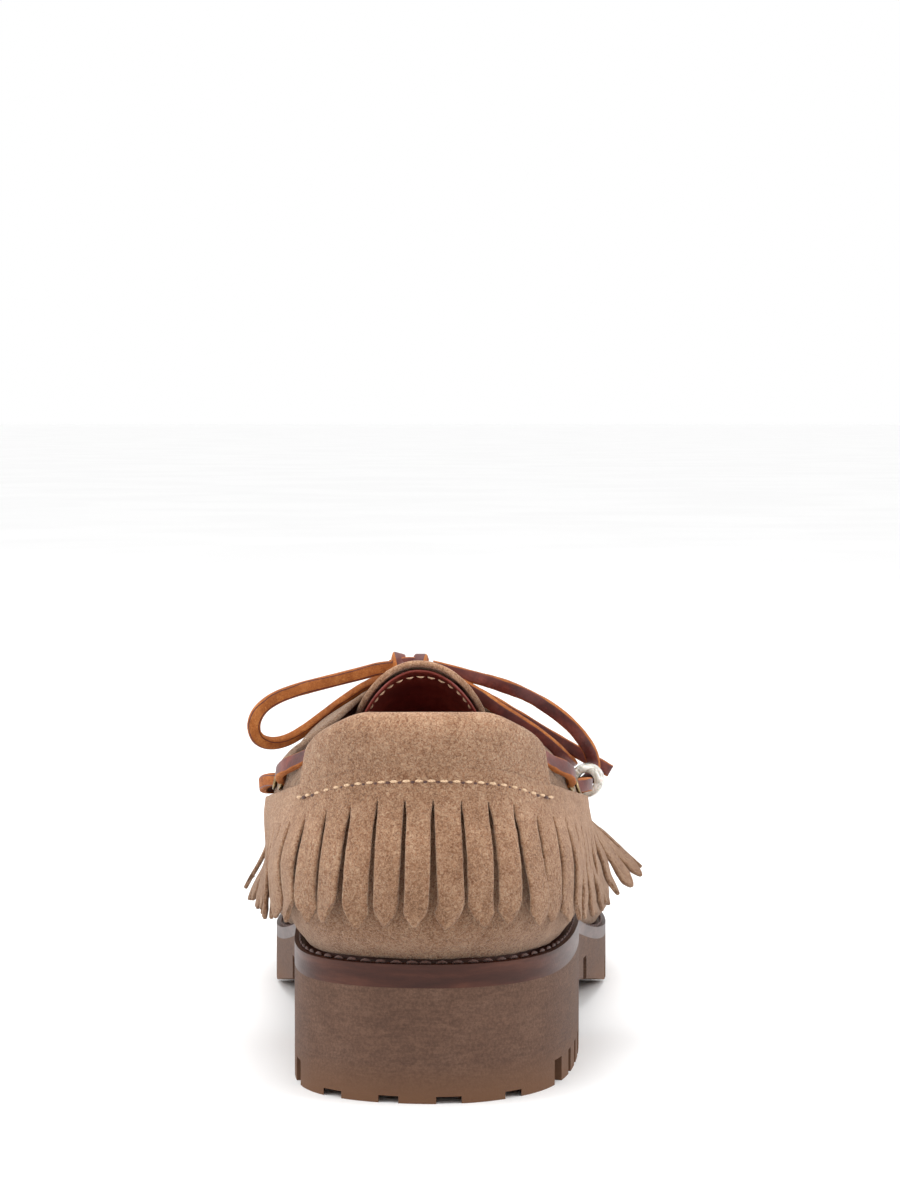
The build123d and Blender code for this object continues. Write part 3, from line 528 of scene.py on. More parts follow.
GREY_LOW, GREY_HIGH = (0.32, 0.32, 0.32, 1), (0.68, 0.68, 0.68, 1)
FLECK_LOW, FLECK_HIGH = (0.22, 0.22, 0.22, 1), (0.78, 0.78, 0.78, 1)


def grey(level):
    """Neutral colour of a brightness."""
    return (level, level, level, 1.0)


def suede(name, dark, base, light, shade=1.0):
    """Napped suede: cloudy patches, brushed nap, speckled fibres and a soft sheen. Painted light by
    height: painted shade makes it darkest low down, and a painted highlight makes it palest along
    the rolled top."""
    look = Look(name, 0.93, Sheen_Weight=0.3, Sheen_Roughness=0.4,
                Sheen_Tint=srgb(255, 246, 236), Specular_IOR_Level=0.1)
    patches = look.noise(24, 4, 0.65)
    nap = look.noise(5.5, 5, 0.7, stretch_by=(1.0, 1.0, 0.55), distortion=0.8)
    fibres = look.noise(1.0, 4, 0.72, distortion=1.4)
    speck = look.noise(0.5, 2, 0.7)
    cloudy = look.ramp(patches, (0.3, dark), (0.5, base), (0.72, light))
    brushed = look.mix(0.5, cloudy, look.ramp(nap, (0.34, dark), (0.52, base), (0.68, light)))
    spotted = look.mix(0.9, brushed, look.ramp(fibres, (0.38, FLECK_LOW), (0.6, FLECK_HIGH)),
                       "SOFT_LIGHT")
    spotted = look.mix(0.6, spotted, look.ramp(speck, (0.38, FLECK_LOW), (0.62, FLECK_HIGH)),
                       "SOFT_LIGHT")
    # Painted shade and painted highlight by height: dark low down, a painted shade dip under the
    # collar's roll, brightest along its top. shade scales this whole painted ramp.
    levels = ((0.2, 0.5), (0.36, 0.57), (0.58, 0.72), (0.8, 0.58), (0.87, 0.64), (0.96, 1.0))
    fall = look.ramp(look.rise(25, 112), *((at, grey(level * shade)) for at, level in levels))
    look.colour(look.mix(1.0, spotted, fall, "MULTIPLY"))
    return look.bump(nap, 0.5, 0.5).bump(fibres, 0.75, 0.9).bump(speck, 0.35, 0.7).material


def glazed(name, dark, base, light, rough, size=9.0, pores=0.7, depth=0.12):
    """Smooth waxed leather: pull-up clouds, fine pores and a varying polish."""
    look = Look(name, rough, Coat_Weight=0.12, Coat_Roughness=0.35, Specular_IOR_Level=0.42)
    clouds = look.noise(size, 5, 0.6, distortion=0.6)
    grain = look.noise(pores, 3, 0.6)
    base_colour = look.ramp(clouds, (0.3, dark), (0.5, base), (0.72, light))
    look.colour(look.mix(0.35, base_colour, look.ramp(grain, (0.35, GREY_LOW), (0.65, GREY_HIGH)),
                         "SOFT_LIGHT"))
    look.roughness(clouds, rough + 0.12, rough - 0.1)
    return look.bump(clouds, 0.25, 0.4).bump(grain, depth, 0.8).material


def raw_edge(name, dark, base, light):
    """Cut edge of a lace: orange fibres running along it."""
    look = Look(name, 0.72, Specular_IOR_Level=0.25)
    fibres = look.noise(0.8, 5, 0.7, distortion=1.5)
    patches = look.noise(7, 3, 0.6)
    tone = look.mix(0.5, look.ramp(fibres, (0.35, dark), (0.52, base), (0.66, light)),
                    look.ramp(patches, (0.35, dark), (0.55, base), (0.7, light)))
    return look.colour(tone).bump(fibres, 0.3, 0.8).material


def rubber(name):
    """Moulded gum rubber: fine grain, a dusty bloom on the flanks and rubbed lower edges."""
    look = Look(name, 0.7, Specular_IOR_Level=0.22)
    dusty = look.noise(16, 5, 0.7, stretch_by=(1, 1, 1.6), distortion=0.4)
    grain = look.noise(0.75, 3, 0.75)
    scuffs = look.noise(2.6, 4, 0.7, stretch_by=(0.4, 0.4, 2.5), distortion=0.5)
    tone = look.ramp(dusty, (0.3, srgb(80, 57, 45)), (0.52, srgb(88, 64, 51)),
                     (0.74, srgb(96, 72, 59)))
    tone = look.mix(0.55, tone, look.ramp(grain, (0.4, GREY_LOW), (0.6, GREY_HIGH)), "SOFT_LIGHT")
    tone = look.mix(0.35, tone, look.ramp(scuffs, (0.4, GREY_LOW), (0.62, GREY_HIGH)), "SOFT_LIGHT")
    look.colour(look.mix(look.rise(11, 1), tone, srgb(102, 72, 52)))
    look.roughness(dusty, 0.66, 0.8)
    return look.bump(grain, 0.22, 0.7).bump(scuffs, 0.15, 0.5).material


def waxed_edge(name):
    """Dark dyed edge of the midsole, smooth and a little shiny."""
    look = Look(name, 0.4, Specular_IOR_Level=0.22)
    streaks = look.noise(7, 5, 0.6, stretch_by=(0.35, 0.35, 2.2))
    fine = look.noise(0.9, 3, 0.6)
    look.colour(look.ramp(streaks, (0.3, srgb(46, 22, 15)), (0.52, srgb(60, 30, 21)),
                          (0.74, srgb(82, 46, 33))))
    look.roughness(streaks, 0.48, 0.34)
    return look.bump(streaks, 0.2, 0.4).bump(fine, 0.08, 0.5).material


def brass(name):
    """Aged brass: dark in the recesses and rubbed bright on the rim."""
    look = Look(name, 0.34, Metallic=1.0)
    tarnish = look.noise(1.6, 5, 0.65)
    look.colour(look.ramp(tarnish, (0.36, srgb(88, 72, 52)), (0.56, srgb(150, 128, 92)),
                          (0.7, srgb(206, 190, 156))))
    look.roughness(tarnish, 0.5, 0.22)
    return look.bump(tarnish, 0.06, 0.5).material


def pearl(name):
    """Pearly shell: pale cream with cloudy nacre under a clear coat."""
    look = Look(name, 0.2, Coat_Weight=0.8, Coat_Roughness=0.06, Subsurface_Weight=0.15,
                Subsurface_Scale=0.002, Specular_IOR_Level=0.6)
    nacre = look.noise(3.2, 4, 0.55, distortion=1.6)
    look.colour(look.ramp(nacre, (0.3, srgb(128, 120, 108)), (0.5, srgb(186, 180, 168)),
                          (0.7, srgb(232, 229, 222))))
    return look.roughness(nacre, 0.22, 0.1).bump(nacre, 0.1, 0.3).material


def thread(name, dark, light):
    """Waxed thread with its fine twist."""
    look = Look(name, 0.6, Sheen_Weight=0.2)
    twist = look.noise(0.5, 2, 0.6, stretch_by=(1, 1, 2))
    look.colour(look.ramp(twist, (0.35, dark), (0.65, light)))
    return look.bump(twist, 0.12, 0.8).material


def board(name, dark, light, rough=0.9):
    """Matt fibre board."""
    look = Look(name, rough)
    fibre = look.noise(1.4, 5, 0.7)
    return look.colour(look.ramp(fibre, (0.35, dark), (0.65, light))).bump(fibre, 0.2, 0.6).material


SUEDE_BODY = suede("suede_body", srgb(166, 124, 95), srgb(183, 140, 110), srgb(204, 162, 131))
SUEDE_COLLAR = suede("suede_collar", srgb(168, 127, 98), srgb(187, 144, 113), srgb(210, 168, 137))
# The quarters' suede has its painted height ramp scaled by 0.8: painted shade that darkens the
# side-lit quarters.
SUEDE_QUARTER_SHADED = suede("suede_quarter_shaded", srgb(168, 130, 103), srgb(187, 148, 119),
                      srgb(210, 171, 141), 0.8)
SUEDE_FRINGE = suede("suede_fringe", srgb(162, 121, 92), srgb(184, 141, 110), srgb(207, 165, 133))
LINING_LOOK = glazed("glazed_lining", srgb(96, 36, 29), srgb(124, 50, 41), srgb(150, 70, 57), 0.5,
                     size=14)
LACE_FACE = glazed("lace_face", srgb(60, 20, 17), srgb(88, 34, 28), srgb(118, 54, 41), 0.42)
LACE_EDGE = raw_edge("lace_edge", srgb(116, 58, 22), srgb(164, 94, 42), srgb(198, 132, 72))
RUBBER = rubber("gum_rubber")
BAND = waxed_edge("midsole_edge")
BRASS = brass("aged_brass")
PEARL = pearl("pearl_shell")
THREAD_PALE = thread("thread_pale", srgb(176, 140, 106), srgb(220, 190, 156))
THREAD_DARK = thread("thread_dark", srgb(50, 23, 16), srgb(82, 44, 31))
BOARD = board("fibre_board", srgb(140, 112, 84), srgb(176, 148, 118))

# Pieces of the upper --------------------------------------------------------------------
STEP = 1.6                 # distance between stations of the fine meshes


def body_slot(piece, slot, *nodes):
    """Hides the CAD parts that a piece replaces, and returns the piece. The slot is not used."""
    if nodes:
        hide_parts(*nodes)
    return piece


def constant(value):
    """A limit that is the same at every station."""
    return lambda along: np.full_like(along, value)


LINING_TOP = [(30, 0.97), (45, 0.93), (LINING_END, 0.74)]      # rows of (Y, share)
body_slot(wall_piece(
    "heel_lining_leather", stretch(along_at(LINING_END, -1), along_at(LINING_END, 1), STEP),
    constant(BASE_LIFT), lambda a: smooth(LINING_TOP, edge_at(a)[1]), lambda a: -lining_depth(a),
    LINING, LINING_LOOK, ripple=0.25, seed=3),
    "lining_leather", "heel_lining")

body_slot(wall_piece(
    "heel_body_suede", stretch(along_at(BODY_END, -1), along_at(BODY_END, 1), STEP),
    constant(BASE_LIFT), lambda a: seam_share(a, -0.1), constant(0.0), SUEDE, SUEDE_BODY,
    ripple=0.5, ripple_size=16, seed=5), "suede", "heel_body")

vamp_alongs = stretch(along_at(BODY_END + 0.2, 1), EDGE_LENGTH + along_at(BODY_END + 0.2, -1), STEP)
body_slot(wall_piece(
    "vamp_suede", vamp_alongs, constant(BASE_LIFT), lambda a: seam_share(a, -0.1),
    constant(0.0), SUEDE, SUEDE_BODY, rows=34, ripple=0.55, ripple_size=20, seed=7,
    path=[(0.1, 0.7), (0.0, 1.4)]), "suede", "vamp")

# Collar: rolled over its padding at the top, open at its two ends for the lace
COLLAR_OUT = TUNNEL + COLLAR_LEATHER
ROLL = COLLAR_OUT / 2
COLLAR_END = COLLAR_REACH - 3.5


def collar_out(alongs, share):
    """Distance of the collar's face off the wall: a full roll over a slight hollow."""
    ends = np.clip((COLLAR_END - np.abs(alongs)) / 9, 0, 1)
    roll = 0.9 * np.exp(-((share - 0.9) / 0.07) ** 2)
    hollow = 1.1 * np.exp(-((share - 0.72) / 0.1) ** 2)
    return COLLAR_OUT - lining_depth(alongs) + (roll - hollow) * ends


def collar_piece():
    """Collar leather from the seam up, over the roll and a little way down inside."""
    alongs = stretch(-COLLAR_END, COLLAR_END, 1.1)[:, None]
    low = np.reshape(seam_share(alongs, -1.5), (-1, 1))
    shoulder = np.clip((np.abs(alongs) - 17) / 16, 0, 1)
    high = 1 - ROLL / 80 - 0.034 * shoulder ** 2 * (3 - 2 * shoulder)
    share = low + (high - low) * np.linspace(0, 1, 34)[None]
    bump = 0.35 * fractal(wall(alongs, share), 17, 11)
    points = [wall(alongs, share, collar_out(alongs, share) + bump)]
    for angle in np.radians(np.arange(20, 181, 20)):
        out = collar_out(alongs, high) + bump[:, -1:] - ROLL * (1 - np.cos(angle))
        points.append(wall(alongs, high, out, ROLL * np.sin(angle)))
    for drop in (1.5, 3.5, 6.0):
        points.append(wall(alongs, high, collar_out(alongs, high) - 2 * ROLL, -drop))
    points = np.concatenate(points, axis=1)
    piece = new_piece("heel_collar_suede", points, grid_faces(*points.shape[:2]), SUEDE_COLLAR)
    return thicken(piece, 1.3)


body_slot(collar_piece(), "suede_light", "heel_collar", "collar_foam")

for side, word in ((1, "outer"), (-1, "inner")):
    ends = sorted((side * (COLLAR_END + 0.4), along_at(EYESTAY_END, side)))
    body_slot(wall_piece(
        f"quarter_{word}_suede", stretch(*ends, STEP), lambda a: seam_share(a, 0.1) - 0.02,
        constant(1.0), constant(0.45), 1.8, SUEDE_QUARTER_SHADED, rows=18, ripple=0.4,
        ripple_size=15, seed=13 + side), "suede", f"quarter_{word}_side")

# Fringe -----------------------------------------------------------------------------------
FRINGE_PITCH = 7.1
FRINGE_FIRST = 2.0         # how far round from the back lies the cut nearest the middle
CUT_START = 7.0
FRINGE_LEATHER = 1.3
TAB_COLUMNS = 7
TAB_ROWS = 34


def fringe_rows(along):
    """The four guide points down the fringe: outward and Z, from the tucked edge to the tip."""
    y = edge_at(along)[1]
    side = 0 if along >= 0 else 1
    seam, tip_z = smooth(SEAM, y), smooth(FRINGE_TIP[side], y)
    flare = float(np.clip((y + 20) / 60, 0, 1))
    tip_out = smooth(FRINGE_OUT[side], y) - flare * (1.0, 2.6)[side]

    def face(height, out):
        n, z, normal_n, normal_z = wall_flat(np.array(along), share_at(along, height))
        return float(n + out * normal_n), float(z + out * normal_z)

    middle_z = (seam + tip_z) / 2
    on_body = face(middle_z, 0.0)[0]
    middle_out = (max(tip_out, on_body + 2) + on_body + 3.4) / 2 - 3.6 * flare
    return np.array([face(seam + SEAM_OVERLAP, 3 * GAP), face(seam - 2, 5 * GAP),
                     (middle_out, middle_z), (tip_out, tip_z)])


def fringe_profile(along, count=60):
    """Dense points down the fringe with their distance from the tucked edge."""
    rows = fringe_rows(along)
    chord = np.concatenate([[0], np.cumsum(np.linalg.norm(np.diff(rows, axis=0), axis=1))])
    at = np.linspace(0, chord[-1], count)
    line = np.stack([smooth(list(zip(chord, rows[:, i])), at) for i in range(2)], -1)
    return at, line


def fringe_point(profiles, along, down, out):
    """Point so far down the fringe and off its face, at a station between known profiles."""
    stations_at, tables = profiles
    k = int(np.clip(np.searchsorted(stations_at, along) - 1, 0, len(stations_at) - 2))
    share = (along - stations_at[k]) / (stations_at[k + 1] - stations_at[k])
    flat = []
    for at, line in (tables[k], tables[k + 1]):
        scale = at[-1]
        here, ahead, behind = (
            np.array([np.interp(share_down * scale, at, line[:, i]) for i in range(2)])
            for share_down in (down, min(1, down + 0.03), max(0, down - 0.03)))
        run = (ahead - behind) / np.linalg.norm(ahead - behind)
        flat.append(here + out * np.array([-run[1], run[0]]))
    n, z = flat[0] * (1 - share) + flat[1] * share
    x, y, out_x, out_y = edge_at(along)
    return np.array([x + n * out_x, y + n * out_y, z])


def fringe_piece():
    """One sheet cut into tabs: each hangs, turns and ends a little differently."""
    first, last = along_at(FRINGE_END, -1), along_at(FRINGE_END, 1)
    margin = 0.8
    station_alongs = np.linspace(first - margin, last + margin, 56)
    profiles = (station_alongs, [fringe_profile(float(a)) for a in station_alongs])
    lengths = np.array([table[0][-1] for table in profiles[1]])
    low_cut = int(np.ceil((first - FRINGE_FIRST) / FRINGE_PITCH))
    high_cut = int(np.floor((last - FRINGE_FIRST) / FRINGE_PITCH))
    cuts = [first, *(FRINGE_FIRST + FRINGE_PITCH * k for k in range(low_cut, high_cut + 1)), last]
    if cuts[1] - cuts[0] < 4:
        cuts.pop(1)
    if cuts[-1] - cuts[-2] < 4:
        cuts.pop(-2)
    draw = np.random.default_rng(21)
    verts, faces = [], []
    for start, end in zip(cuts[:-1], cuts[1:]):
        middle, pitch = (start + end) / 2, end - start
        length = float(np.interp(middle, station_alongs, lengths))
        cut = (SEAM_OVERLAP + CUT_START + draw.uniform(-1.2, 1.4)) / length
        flare = np.clip(abs(middle) / 80, 0, 1)
        twist = draw.normal(0, 0.4)
        drift = draw.normal(0, 0.35) * (1 + flare)
        kick = draw.normal(0.2, 0.5)
        sway = draw.normal(0, 0.5)
        longer = draw.normal(0, 0.018)
        slit = draw.uniform(0.5, 1.0) - 0.2 * flare
        lean = draw.uniform(-0.22, 0.22)
        point = draw.uniform(3.6, 5.4) / length
        offset = len(verts)
        for i in range(TAB_ROWS):
            t = i / (TAB_ROWS - 1)
            down = t * (1 + longer) if t > 0.3 else t
            free = max(0.0, (t - cut) / (1 - cut))
            loose = free * free * (3 - 2 * free)
            width = pitch - min(1.0, free * 9) * slit - 0.5 * loose
            into_tip = max(0.0, (t - (1 - point)) / point)
            narrow = width * (1 - 0.14 * into_tip ** 2)
            for j in range(TAB_COLUMNS):
                u = j / (TAB_COLUMNS - 1) - 0.5
                across = u * narrow + drift * loose + lean * into_tip * width
                out = (FRINGE_LEATHER + 2 * u * twist * loose + kick * loose
                       + sway * np.sin(free * 5.5) * min(1.0, free * 2)
                       + 0.7 * (0.25 - u * u) * loose)
                along = float(np.clip(middle + across, station_alongs[0], station_alongs[-1]))
                reach = min(down, 1.04) - point * abs(2 * u) ** 1.2 * t ** 5
                verts.append(fringe_point(profiles, along, reach, out))
        faces += grid_faces(TAB_ROWS, TAB_COLUMNS, offset=offset)
    verts = np.array(verts)
    verts += 0.16 * fractal(verts, 3.0, 29)[:, None]
    piece = new_piece("heel_fringe", verts, [face[::-1] for face in faces], SUEDE_FRINGE)
    merge = piece.modifiers.new("merge", "WELD")
    merge.merge_threshold = 0.02 * MM
    return thicken(piece, FRINGE_LEATHER)


body_slot(fringe_piece(), "suede", "fringe")

# Apron and tongue -------------------------------------------------------------------------


def apron_piece():
    """Crowned plug of the moccasin toe, with a raised lip along its seam."""
    rows = []
    for y in stretch(APRON_START, APRON_END, 2.2):
        left, right = top_edge_at(y, -1), top_edge_at(y, 1)
        gap = APRON_EDGE_GAP * 0.4
        t = np.linspace(0, 1, 31)
        rise = smooth(APRON_CROWN, y) * (1 - np.abs(2 * t - 1) ** 2.4)
        lip = 1.3 * np.exp(-((t * (1 - t)) / 0.02) ** 2)
        x = left[0] + gap + (right[0] - left[0] - 2 * gap) * t
        z = left[2] + (right[2] - left[2]) * t + rise + lip
        rows.append(np.stack([x, np.full_like(x, y), z], -1))
    points = np.array(rows)
    points[..., 2] += 0.5 * fractal(points, 20, 33)
    return thicken(new_piece("apron_suede", points, grid_faces(*points.shape[:2]), SUEDE_BODY),
                   SUEDE)


def tongue_piece(name, drop, thickness, material, edge):
    """Arched sheet of the tongue, set down and in from its outline by a drop and an edge."""
    rows = []
    for y in stretch(64 + edge, 120, 1.8):
        half = float(smooth(TONGUE_HALF, y)) - edge
        fall = TONGUE_DROP * ((half + edge) / 20) ** TONGUE_ARCH
        t = np.linspace(-1, 1, 37)
        z = smooth(TONGUE_CROWN, y) - drop - fall * np.abs(t) ** TONGUE_ARCH
        x = TONGUE_CENTRE + half * t
        rows.append(np.stack([x, np.full_like(x, y), z], -1))
    points = np.array(rows)
    points[..., 2] += 0.3 * fractal(points, 14, 37)
    piece = new_piece(name, points, grid_faces(*points.shape[:2]), material, "tongue")
    return thicken(piece, thickness)


body_slot(apron_piece(), "suede", "apron")
body_slot(tongue_piece("tongue_suede", 0.0, 1.9, SUEDE_COLLAR, 0.0), "suede", "tongue")
body_slot(tongue_piece("tongue_lining_leather", 1.7, LINING, LINING_LOOK, 0.9), "lining_leather",
          "tongue_lining")

# Stitching --------------------------------------------------------------------------------


def stitch_row(name, places, length, width, height, material, body="shoe"):
    """One piece of many stitches. Each place is (middle, direction along, outward)."""
    verts, faces = [], []
    bands, around = 7, 8
    for middle, along, up in places:
        along = np.array(along) / np.linalg.norm(along)
        up = np.array(up) - np.dot(up, along) * along
        up = up / np.linalg.norm(up)
        side = np.cross(along, up)
        offset = len(verts)
        for i in range(bands):
            s = i / (bands - 1)
            radius = max(0.06, sin(pi * s)) ** 0.5
            arch = height * (sin(pi * s) - 0.35)
            for j in range(around):
                turn = 2 * pi * j / around
                verts.append(np.array(middle) + along * length * (s - 0.5) + up * arch
                             + side * width / 2 * radius * cos(turn)
                             + up * width / 2 * radius * sin(turn))
        faces += grid_faces(bands, around, closed=True, offset=offset)
        faces.append(tuple(offset + j for j in range(around)))
        faces.append(tuple(offset + (bands - 1) * around + j for j in reversed(range(around))))
    return new_piece(name, np.array(verts), faces, material, body)


def wall_stitches(alongs, share, out, lean=0.0):
    """Places for stitches along the wall at a share of its height."""
    places = []
    for a in alongs:
        a = np.array(float(a))
        s, o = share(a), out(a)
        here, ahead = wall(a, s, o), wall(a + 1.0, share(a + 1.0), out(a + 1.0))
        places.append((here, ahead - here + lean * np.array((0, 0, 1)), wall(a, s, o + 1) - here))
    return places


body_slot(stitch_row(
    "collar_seam_stitches",
    wall_stitches(stretch(2 - COLLAR_END, COLLAR_END - 2, 3.3), lambda a: seam_share(a, -0.2),
                  lambda a: collar_out(a, seam_share(a, -0.2)) + 0.75),
    2.2, 0.8, 0.35, THREAD_PALE), "thread", "collar_stitching")
# Dark thread dots between the collar stitches: painted shade standing in for the shadowed seam
# groove and needle holes.
body_slot(stitch_row(
    "collar_seam_shade_dots",
    wall_stitches(stretch(2 - COLLAR_END, COLLAR_END - 2, 3.3)[:-1] + 1.65,
                  lambda a: seam_share(a, -0.5),
                  lambda a: collar_out(a, seam_share(a, -0.5)) + 0.5),
    1.7, 0.9, 0.1, THREAD_DARK), "thread_dark")

for side, word in ((1, "outer"), (-1, "inner")):
    row = stretch(side * (COLLAR_END + 2), along_at(EYESTAY_END - 3, side), 3.3)
    body_slot(stitch_row(f"quarter_{word}_stitches", wall_stitches(
        row, lambda a: seam_share(a, 0.1) + 0.008, lambda a: 0.6 + 0 * a), 2.4, 0.75, 0.35,
        THREAD_PALE), "thread")


def apron_stitches():
    """Thick hand stitches over the raised seam between vamp and apron."""
    places = []
    for a in stretch(along_at(118, 1), EDGE_LENGTH + along_at(118, -1), 6.5):
        a = np.array(float(a))
        out_x, out_y = edge_at(a)[2:]
        here = wall(a, 1.0, 0.0, 1.7) - np.array((out_x, out_y, 0))
        places.append((here, (out_x, out_y, -0.2), (0, 0, 1)))
    return stitch_row("apron_seam_stitches", places, 5.6, 1.5, 1.2, THREAD_DARK)


body_slot(apron_stitches(), "thread_dark", "apron_stitching")


STITCH_DROP = 3.0          # from the tongue's outer face to the stitches on its lining


def tongue_stitches():
    """Row of stitches just inside the tongue's rounded edge, showing on its lining."""
    places = []
    flat = [(-(float(smooth(TONGUE_HALF, y)) - 2.4), y) for y in stretch(112, 67.4, 1.0)]
    flat += [(x, 67.4 - 1.5 * (1 - (x / flat[-1][0]) ** 2)) for x in np.linspace(-11, 11, 23)]
    flat += [(-x, y) for x, y in flat[:-23][::-1]]
    line = np.array([(TONGUE_CENTRE + x, y, float(smooth(TONGUE_CROWN, y)) - STITCH_DROP
                      - TONGUE_DROP * (abs(x) / 20) ** TONGUE_ARCH) for x, y in flat])
    lengths = np.concatenate([[0], np.cumsum(np.linalg.norm(np.diff(line, axis=0), axis=1))])
    for at in np.arange(2, lengths[-1] - 2, 3.3):
        here, ahead = (np.array([np.interp(at + d, lengths, line[:, i]) for i in range(3)])
                       for d in (0, 0.5))
        places.append((here, ahead - here, (0, -0.5, -1)))
    return stitch_row("tongue_edge_stitches", places, 2.3, 0.6, 0.25, THREAD_PALE, "tongue")


body_slot(tongue_stitches(), "thread")

welt = [(np.array([*(np.array(edge_at(a)[:2]) - 1.7 * np.array(edge_at(a)[2:])),
                   float(smooth(SOLE_TOP, edge_at(a)[1])) + 0.15]),
         (-edge_at(a)[3], edge_at(a)[2], 0), (0, 0, 1))
        for a in np.arange(0, EDGE_LENGTH - 2, 4.6)]
body_slot(stitch_row("welt_stitches", welt, 3.2, 0.9, 0.3, THREAD_DARK), "thread_dark")

# Eyelets and bead -------------------------------------------------------------------------
EYELET_PROFILE = [(1.95, -1.7), (2.25, -1.7), (2.35, 0.0), (2.7, 0.15), (3.1, 0.2), (3.15, 0.5),
                  (2.9, 0.85), (2.5, 1.0), (2.15, 0.85), (1.95, 0.45)]


def eyelet_group(name, places, *nodes):
    """Turned brass rings at places of (centre, axis), as one piece."""
    verts, faces = [], []
    for centre, axis in places:
        points, segments, count = lathe(EYELET_PROFILE, centre, axis)
        faces += lathe_faces(segments, count, len(verts))
        verts += list(np.reshape(points[:-1], (-1, 3)))
    return body_slot(new_piece(name, np.array(verts), faces, BRASS), "brass", *nodes)


for side, word in ((1, "outer"), (-1, "inner")):
    for group, rows in (("side", [(y, float(share_at(along_at(y, side), z)))
                                  for y, z in SIDE_EYELETS[0 if side > 0 else 1]]),
                        ("lace", FRONT_EYELETS)):
        places = []
        for y, share in rows:
            a = np.array(along_at(y, side))
            here = wall(a, share, 0.45)
            places.append((here, wall(a, share, 1.45) - here))
        eyelet_group(f"{group}_eyelet_rings_{word}", places, f"{group}_eyelets_{word}")

lace_tip, lace_bend = np.array(BEADED_END[-1]), np.array(BEADED_END[-2])
bead_axis = (lace_bend - lace_tip) / np.linalg.norm(lace_bend - lace_tip)
BEAD_LENGTH, BEAD_OUTER, BEAD_INNER, LACE_RECESS = 6.8, 5.2, 2.35, 0.8
bead_centre = lace_tip + bead_axis * (BEAD_LENGTH / 2 - LACE_RECESS)
wheel = np.linspace(0, 2 * pi, 28, endpoint=False)
profile = [((BEAD_OUTER + BEAD_INNER) / 2 + (BEAD_OUTER - BEAD_INNER) / 2
            * np.sign(cos(w)) * abs(cos(w)) ** 0.75,
            BEAD_LENGTH / 2 * np.sign(sin(w)) * abs(sin(w)) ** 0.75) for w in wheel]
points, segments, count = lathe(profile, bead_centre, bead_axis, 64)
points = points[:-1] + 0.05 * fractal(points[:-1], 4, 41)[..., None]
body_slot(new_piece("pearl_bead", points, lathe_faces(segments, count), PEARL, "bead"),
          "bead_shell", "bead")

# Laces ------------------------------------------------------------------------------------
LACE_WIDTH = 4.0
LACE_THICK = 2.5
LACE_CORNER = 0.65


def lace_section():
    """Closed section of the flat lace: a flat band with rounded corners."""
    half_w, half_t, r = LACE_WIDTH / 2, LACE_THICK / 2, LACE_CORNER
    points = []
    for corner_w, corner_t, first in ((1, 1, 0), (-1, 1, 90), (-1, -1, 180), (1, -1, 270)):
        for turn in (0, 30, 60, 90):
            a = radians(first + turn)
            points.append((corner_w * (half_w - r) + r * cos(a),
                           corner_t * (half_t - r) + r * sin(a)))
    return points


def ribbon(name, route, up=(0, 0, 1), turn=0.0, slot="lace_leather", nodes=(), seed=1, step=1.0):
    """Flat lace along a NURBS route: dark faces, raw edges. Returns it and its centre line."""
    line, length = spline_points(name + "_route", route, step)
    tangent = np.gradient(line, axis=0)
    tangent /= np.linalg.norm(tangent, axis=1)[:, None]
    wide = np.array(up, float)
    section = lace_section()
    wobble = fractal(line, 9, seed)
    rings = []
    for i, (middle, run) in enumerate(zip(line, tangent)):
        wide = wide - np.dot(wide, run) * run
        wide /= np.linalg.norm(wide)
        thick = np.cross(run, wide)
        angle = turn * i / len(line) + 0.28 * wobble[i]
        across, deep = (wide * cos(angle) + thick * sin(angle),
                        thick * cos(angle) - wide * sin(angle))
        size = 1 + 0.07 * wobble[i]
        rings.append([middle + size * (w * across + t * deep) for w, t in section])
    count = len(section)
    rings = np.array(rings)
    faces = grid_faces(len(rings), count, closed=True)
    last = (len(rings) - 1) * count
    faces += [tuple(range(count)), tuple(last + j for j in reversed(range(count)))]
    piece = new_piece(name, rings, faces, (LACE_FACE, LACE_EDGE))
    for index, face in enumerate(piece.data.polygons):
        column = index % count
        on_edge = column % 8 in (0, 1, 5, 6, 7) or column == 11 or index >= len(faces) - 2
        face.material_index = 1 if on_edge else 0
    body_slot(piece, slot, *nodes)
    return piece, line * MM, length * MM


def wall_route(side, rows):
    """Points on one side from rows of (Y, height, distance off the face)."""
    return [tuple(wall(np.array(along_at(y, side)), share_at(along_at(y, side), z), out))
            for y, z, out in rows]


def tunnel_route():
    """Heel lace: through the collar's tunnel, then outside to the first eyelet on each side."""
    inside = [tuple(wall(np.array(a), share_at(a, TUNNEL_HEIGHT), TUNNEL / 2 - lining_depth(a)))
              for a in stretch(-TUNNEL_REACH, TUNNEL_REACH, 8.4)]
    inner, outer = (wall_route(side, [(y, z + lift, out) for y, z, out in TUNNEL_EXIT])
                    for side, lift in ((-1, 1.0), (1, 0.0)))
    return [*reversed(inner), *inside, *outer]


ribbon("heel_lace_strap", tunnel_route(), nodes=("heel_lace",), seed=51)
for side, word, rows in ((1, "outer", SIDE_RUNS[0]), (-1, "inner", SIDE_RUNS[1])):
    ribbon(f"side_lace_{word}_strap", wall_route(side, rows), nodes=(f"side_lace_{word}",), seed=52)
ribbon("lace_bar_strap", LACE_BAR, up=(0, 1, 0), nodes=("lace_bar",), seed=53)
ribbon("lace_lead_inner_strap", LEAD_INNER, up=(0, 1, 0), nodes=("lace_lead_inner",), seed=54)
ribbon("lace_lead_outer_strap", LEAD_OUTER, up=(0, 1, 0), nodes=("lace_lead_outer",), seed=55)

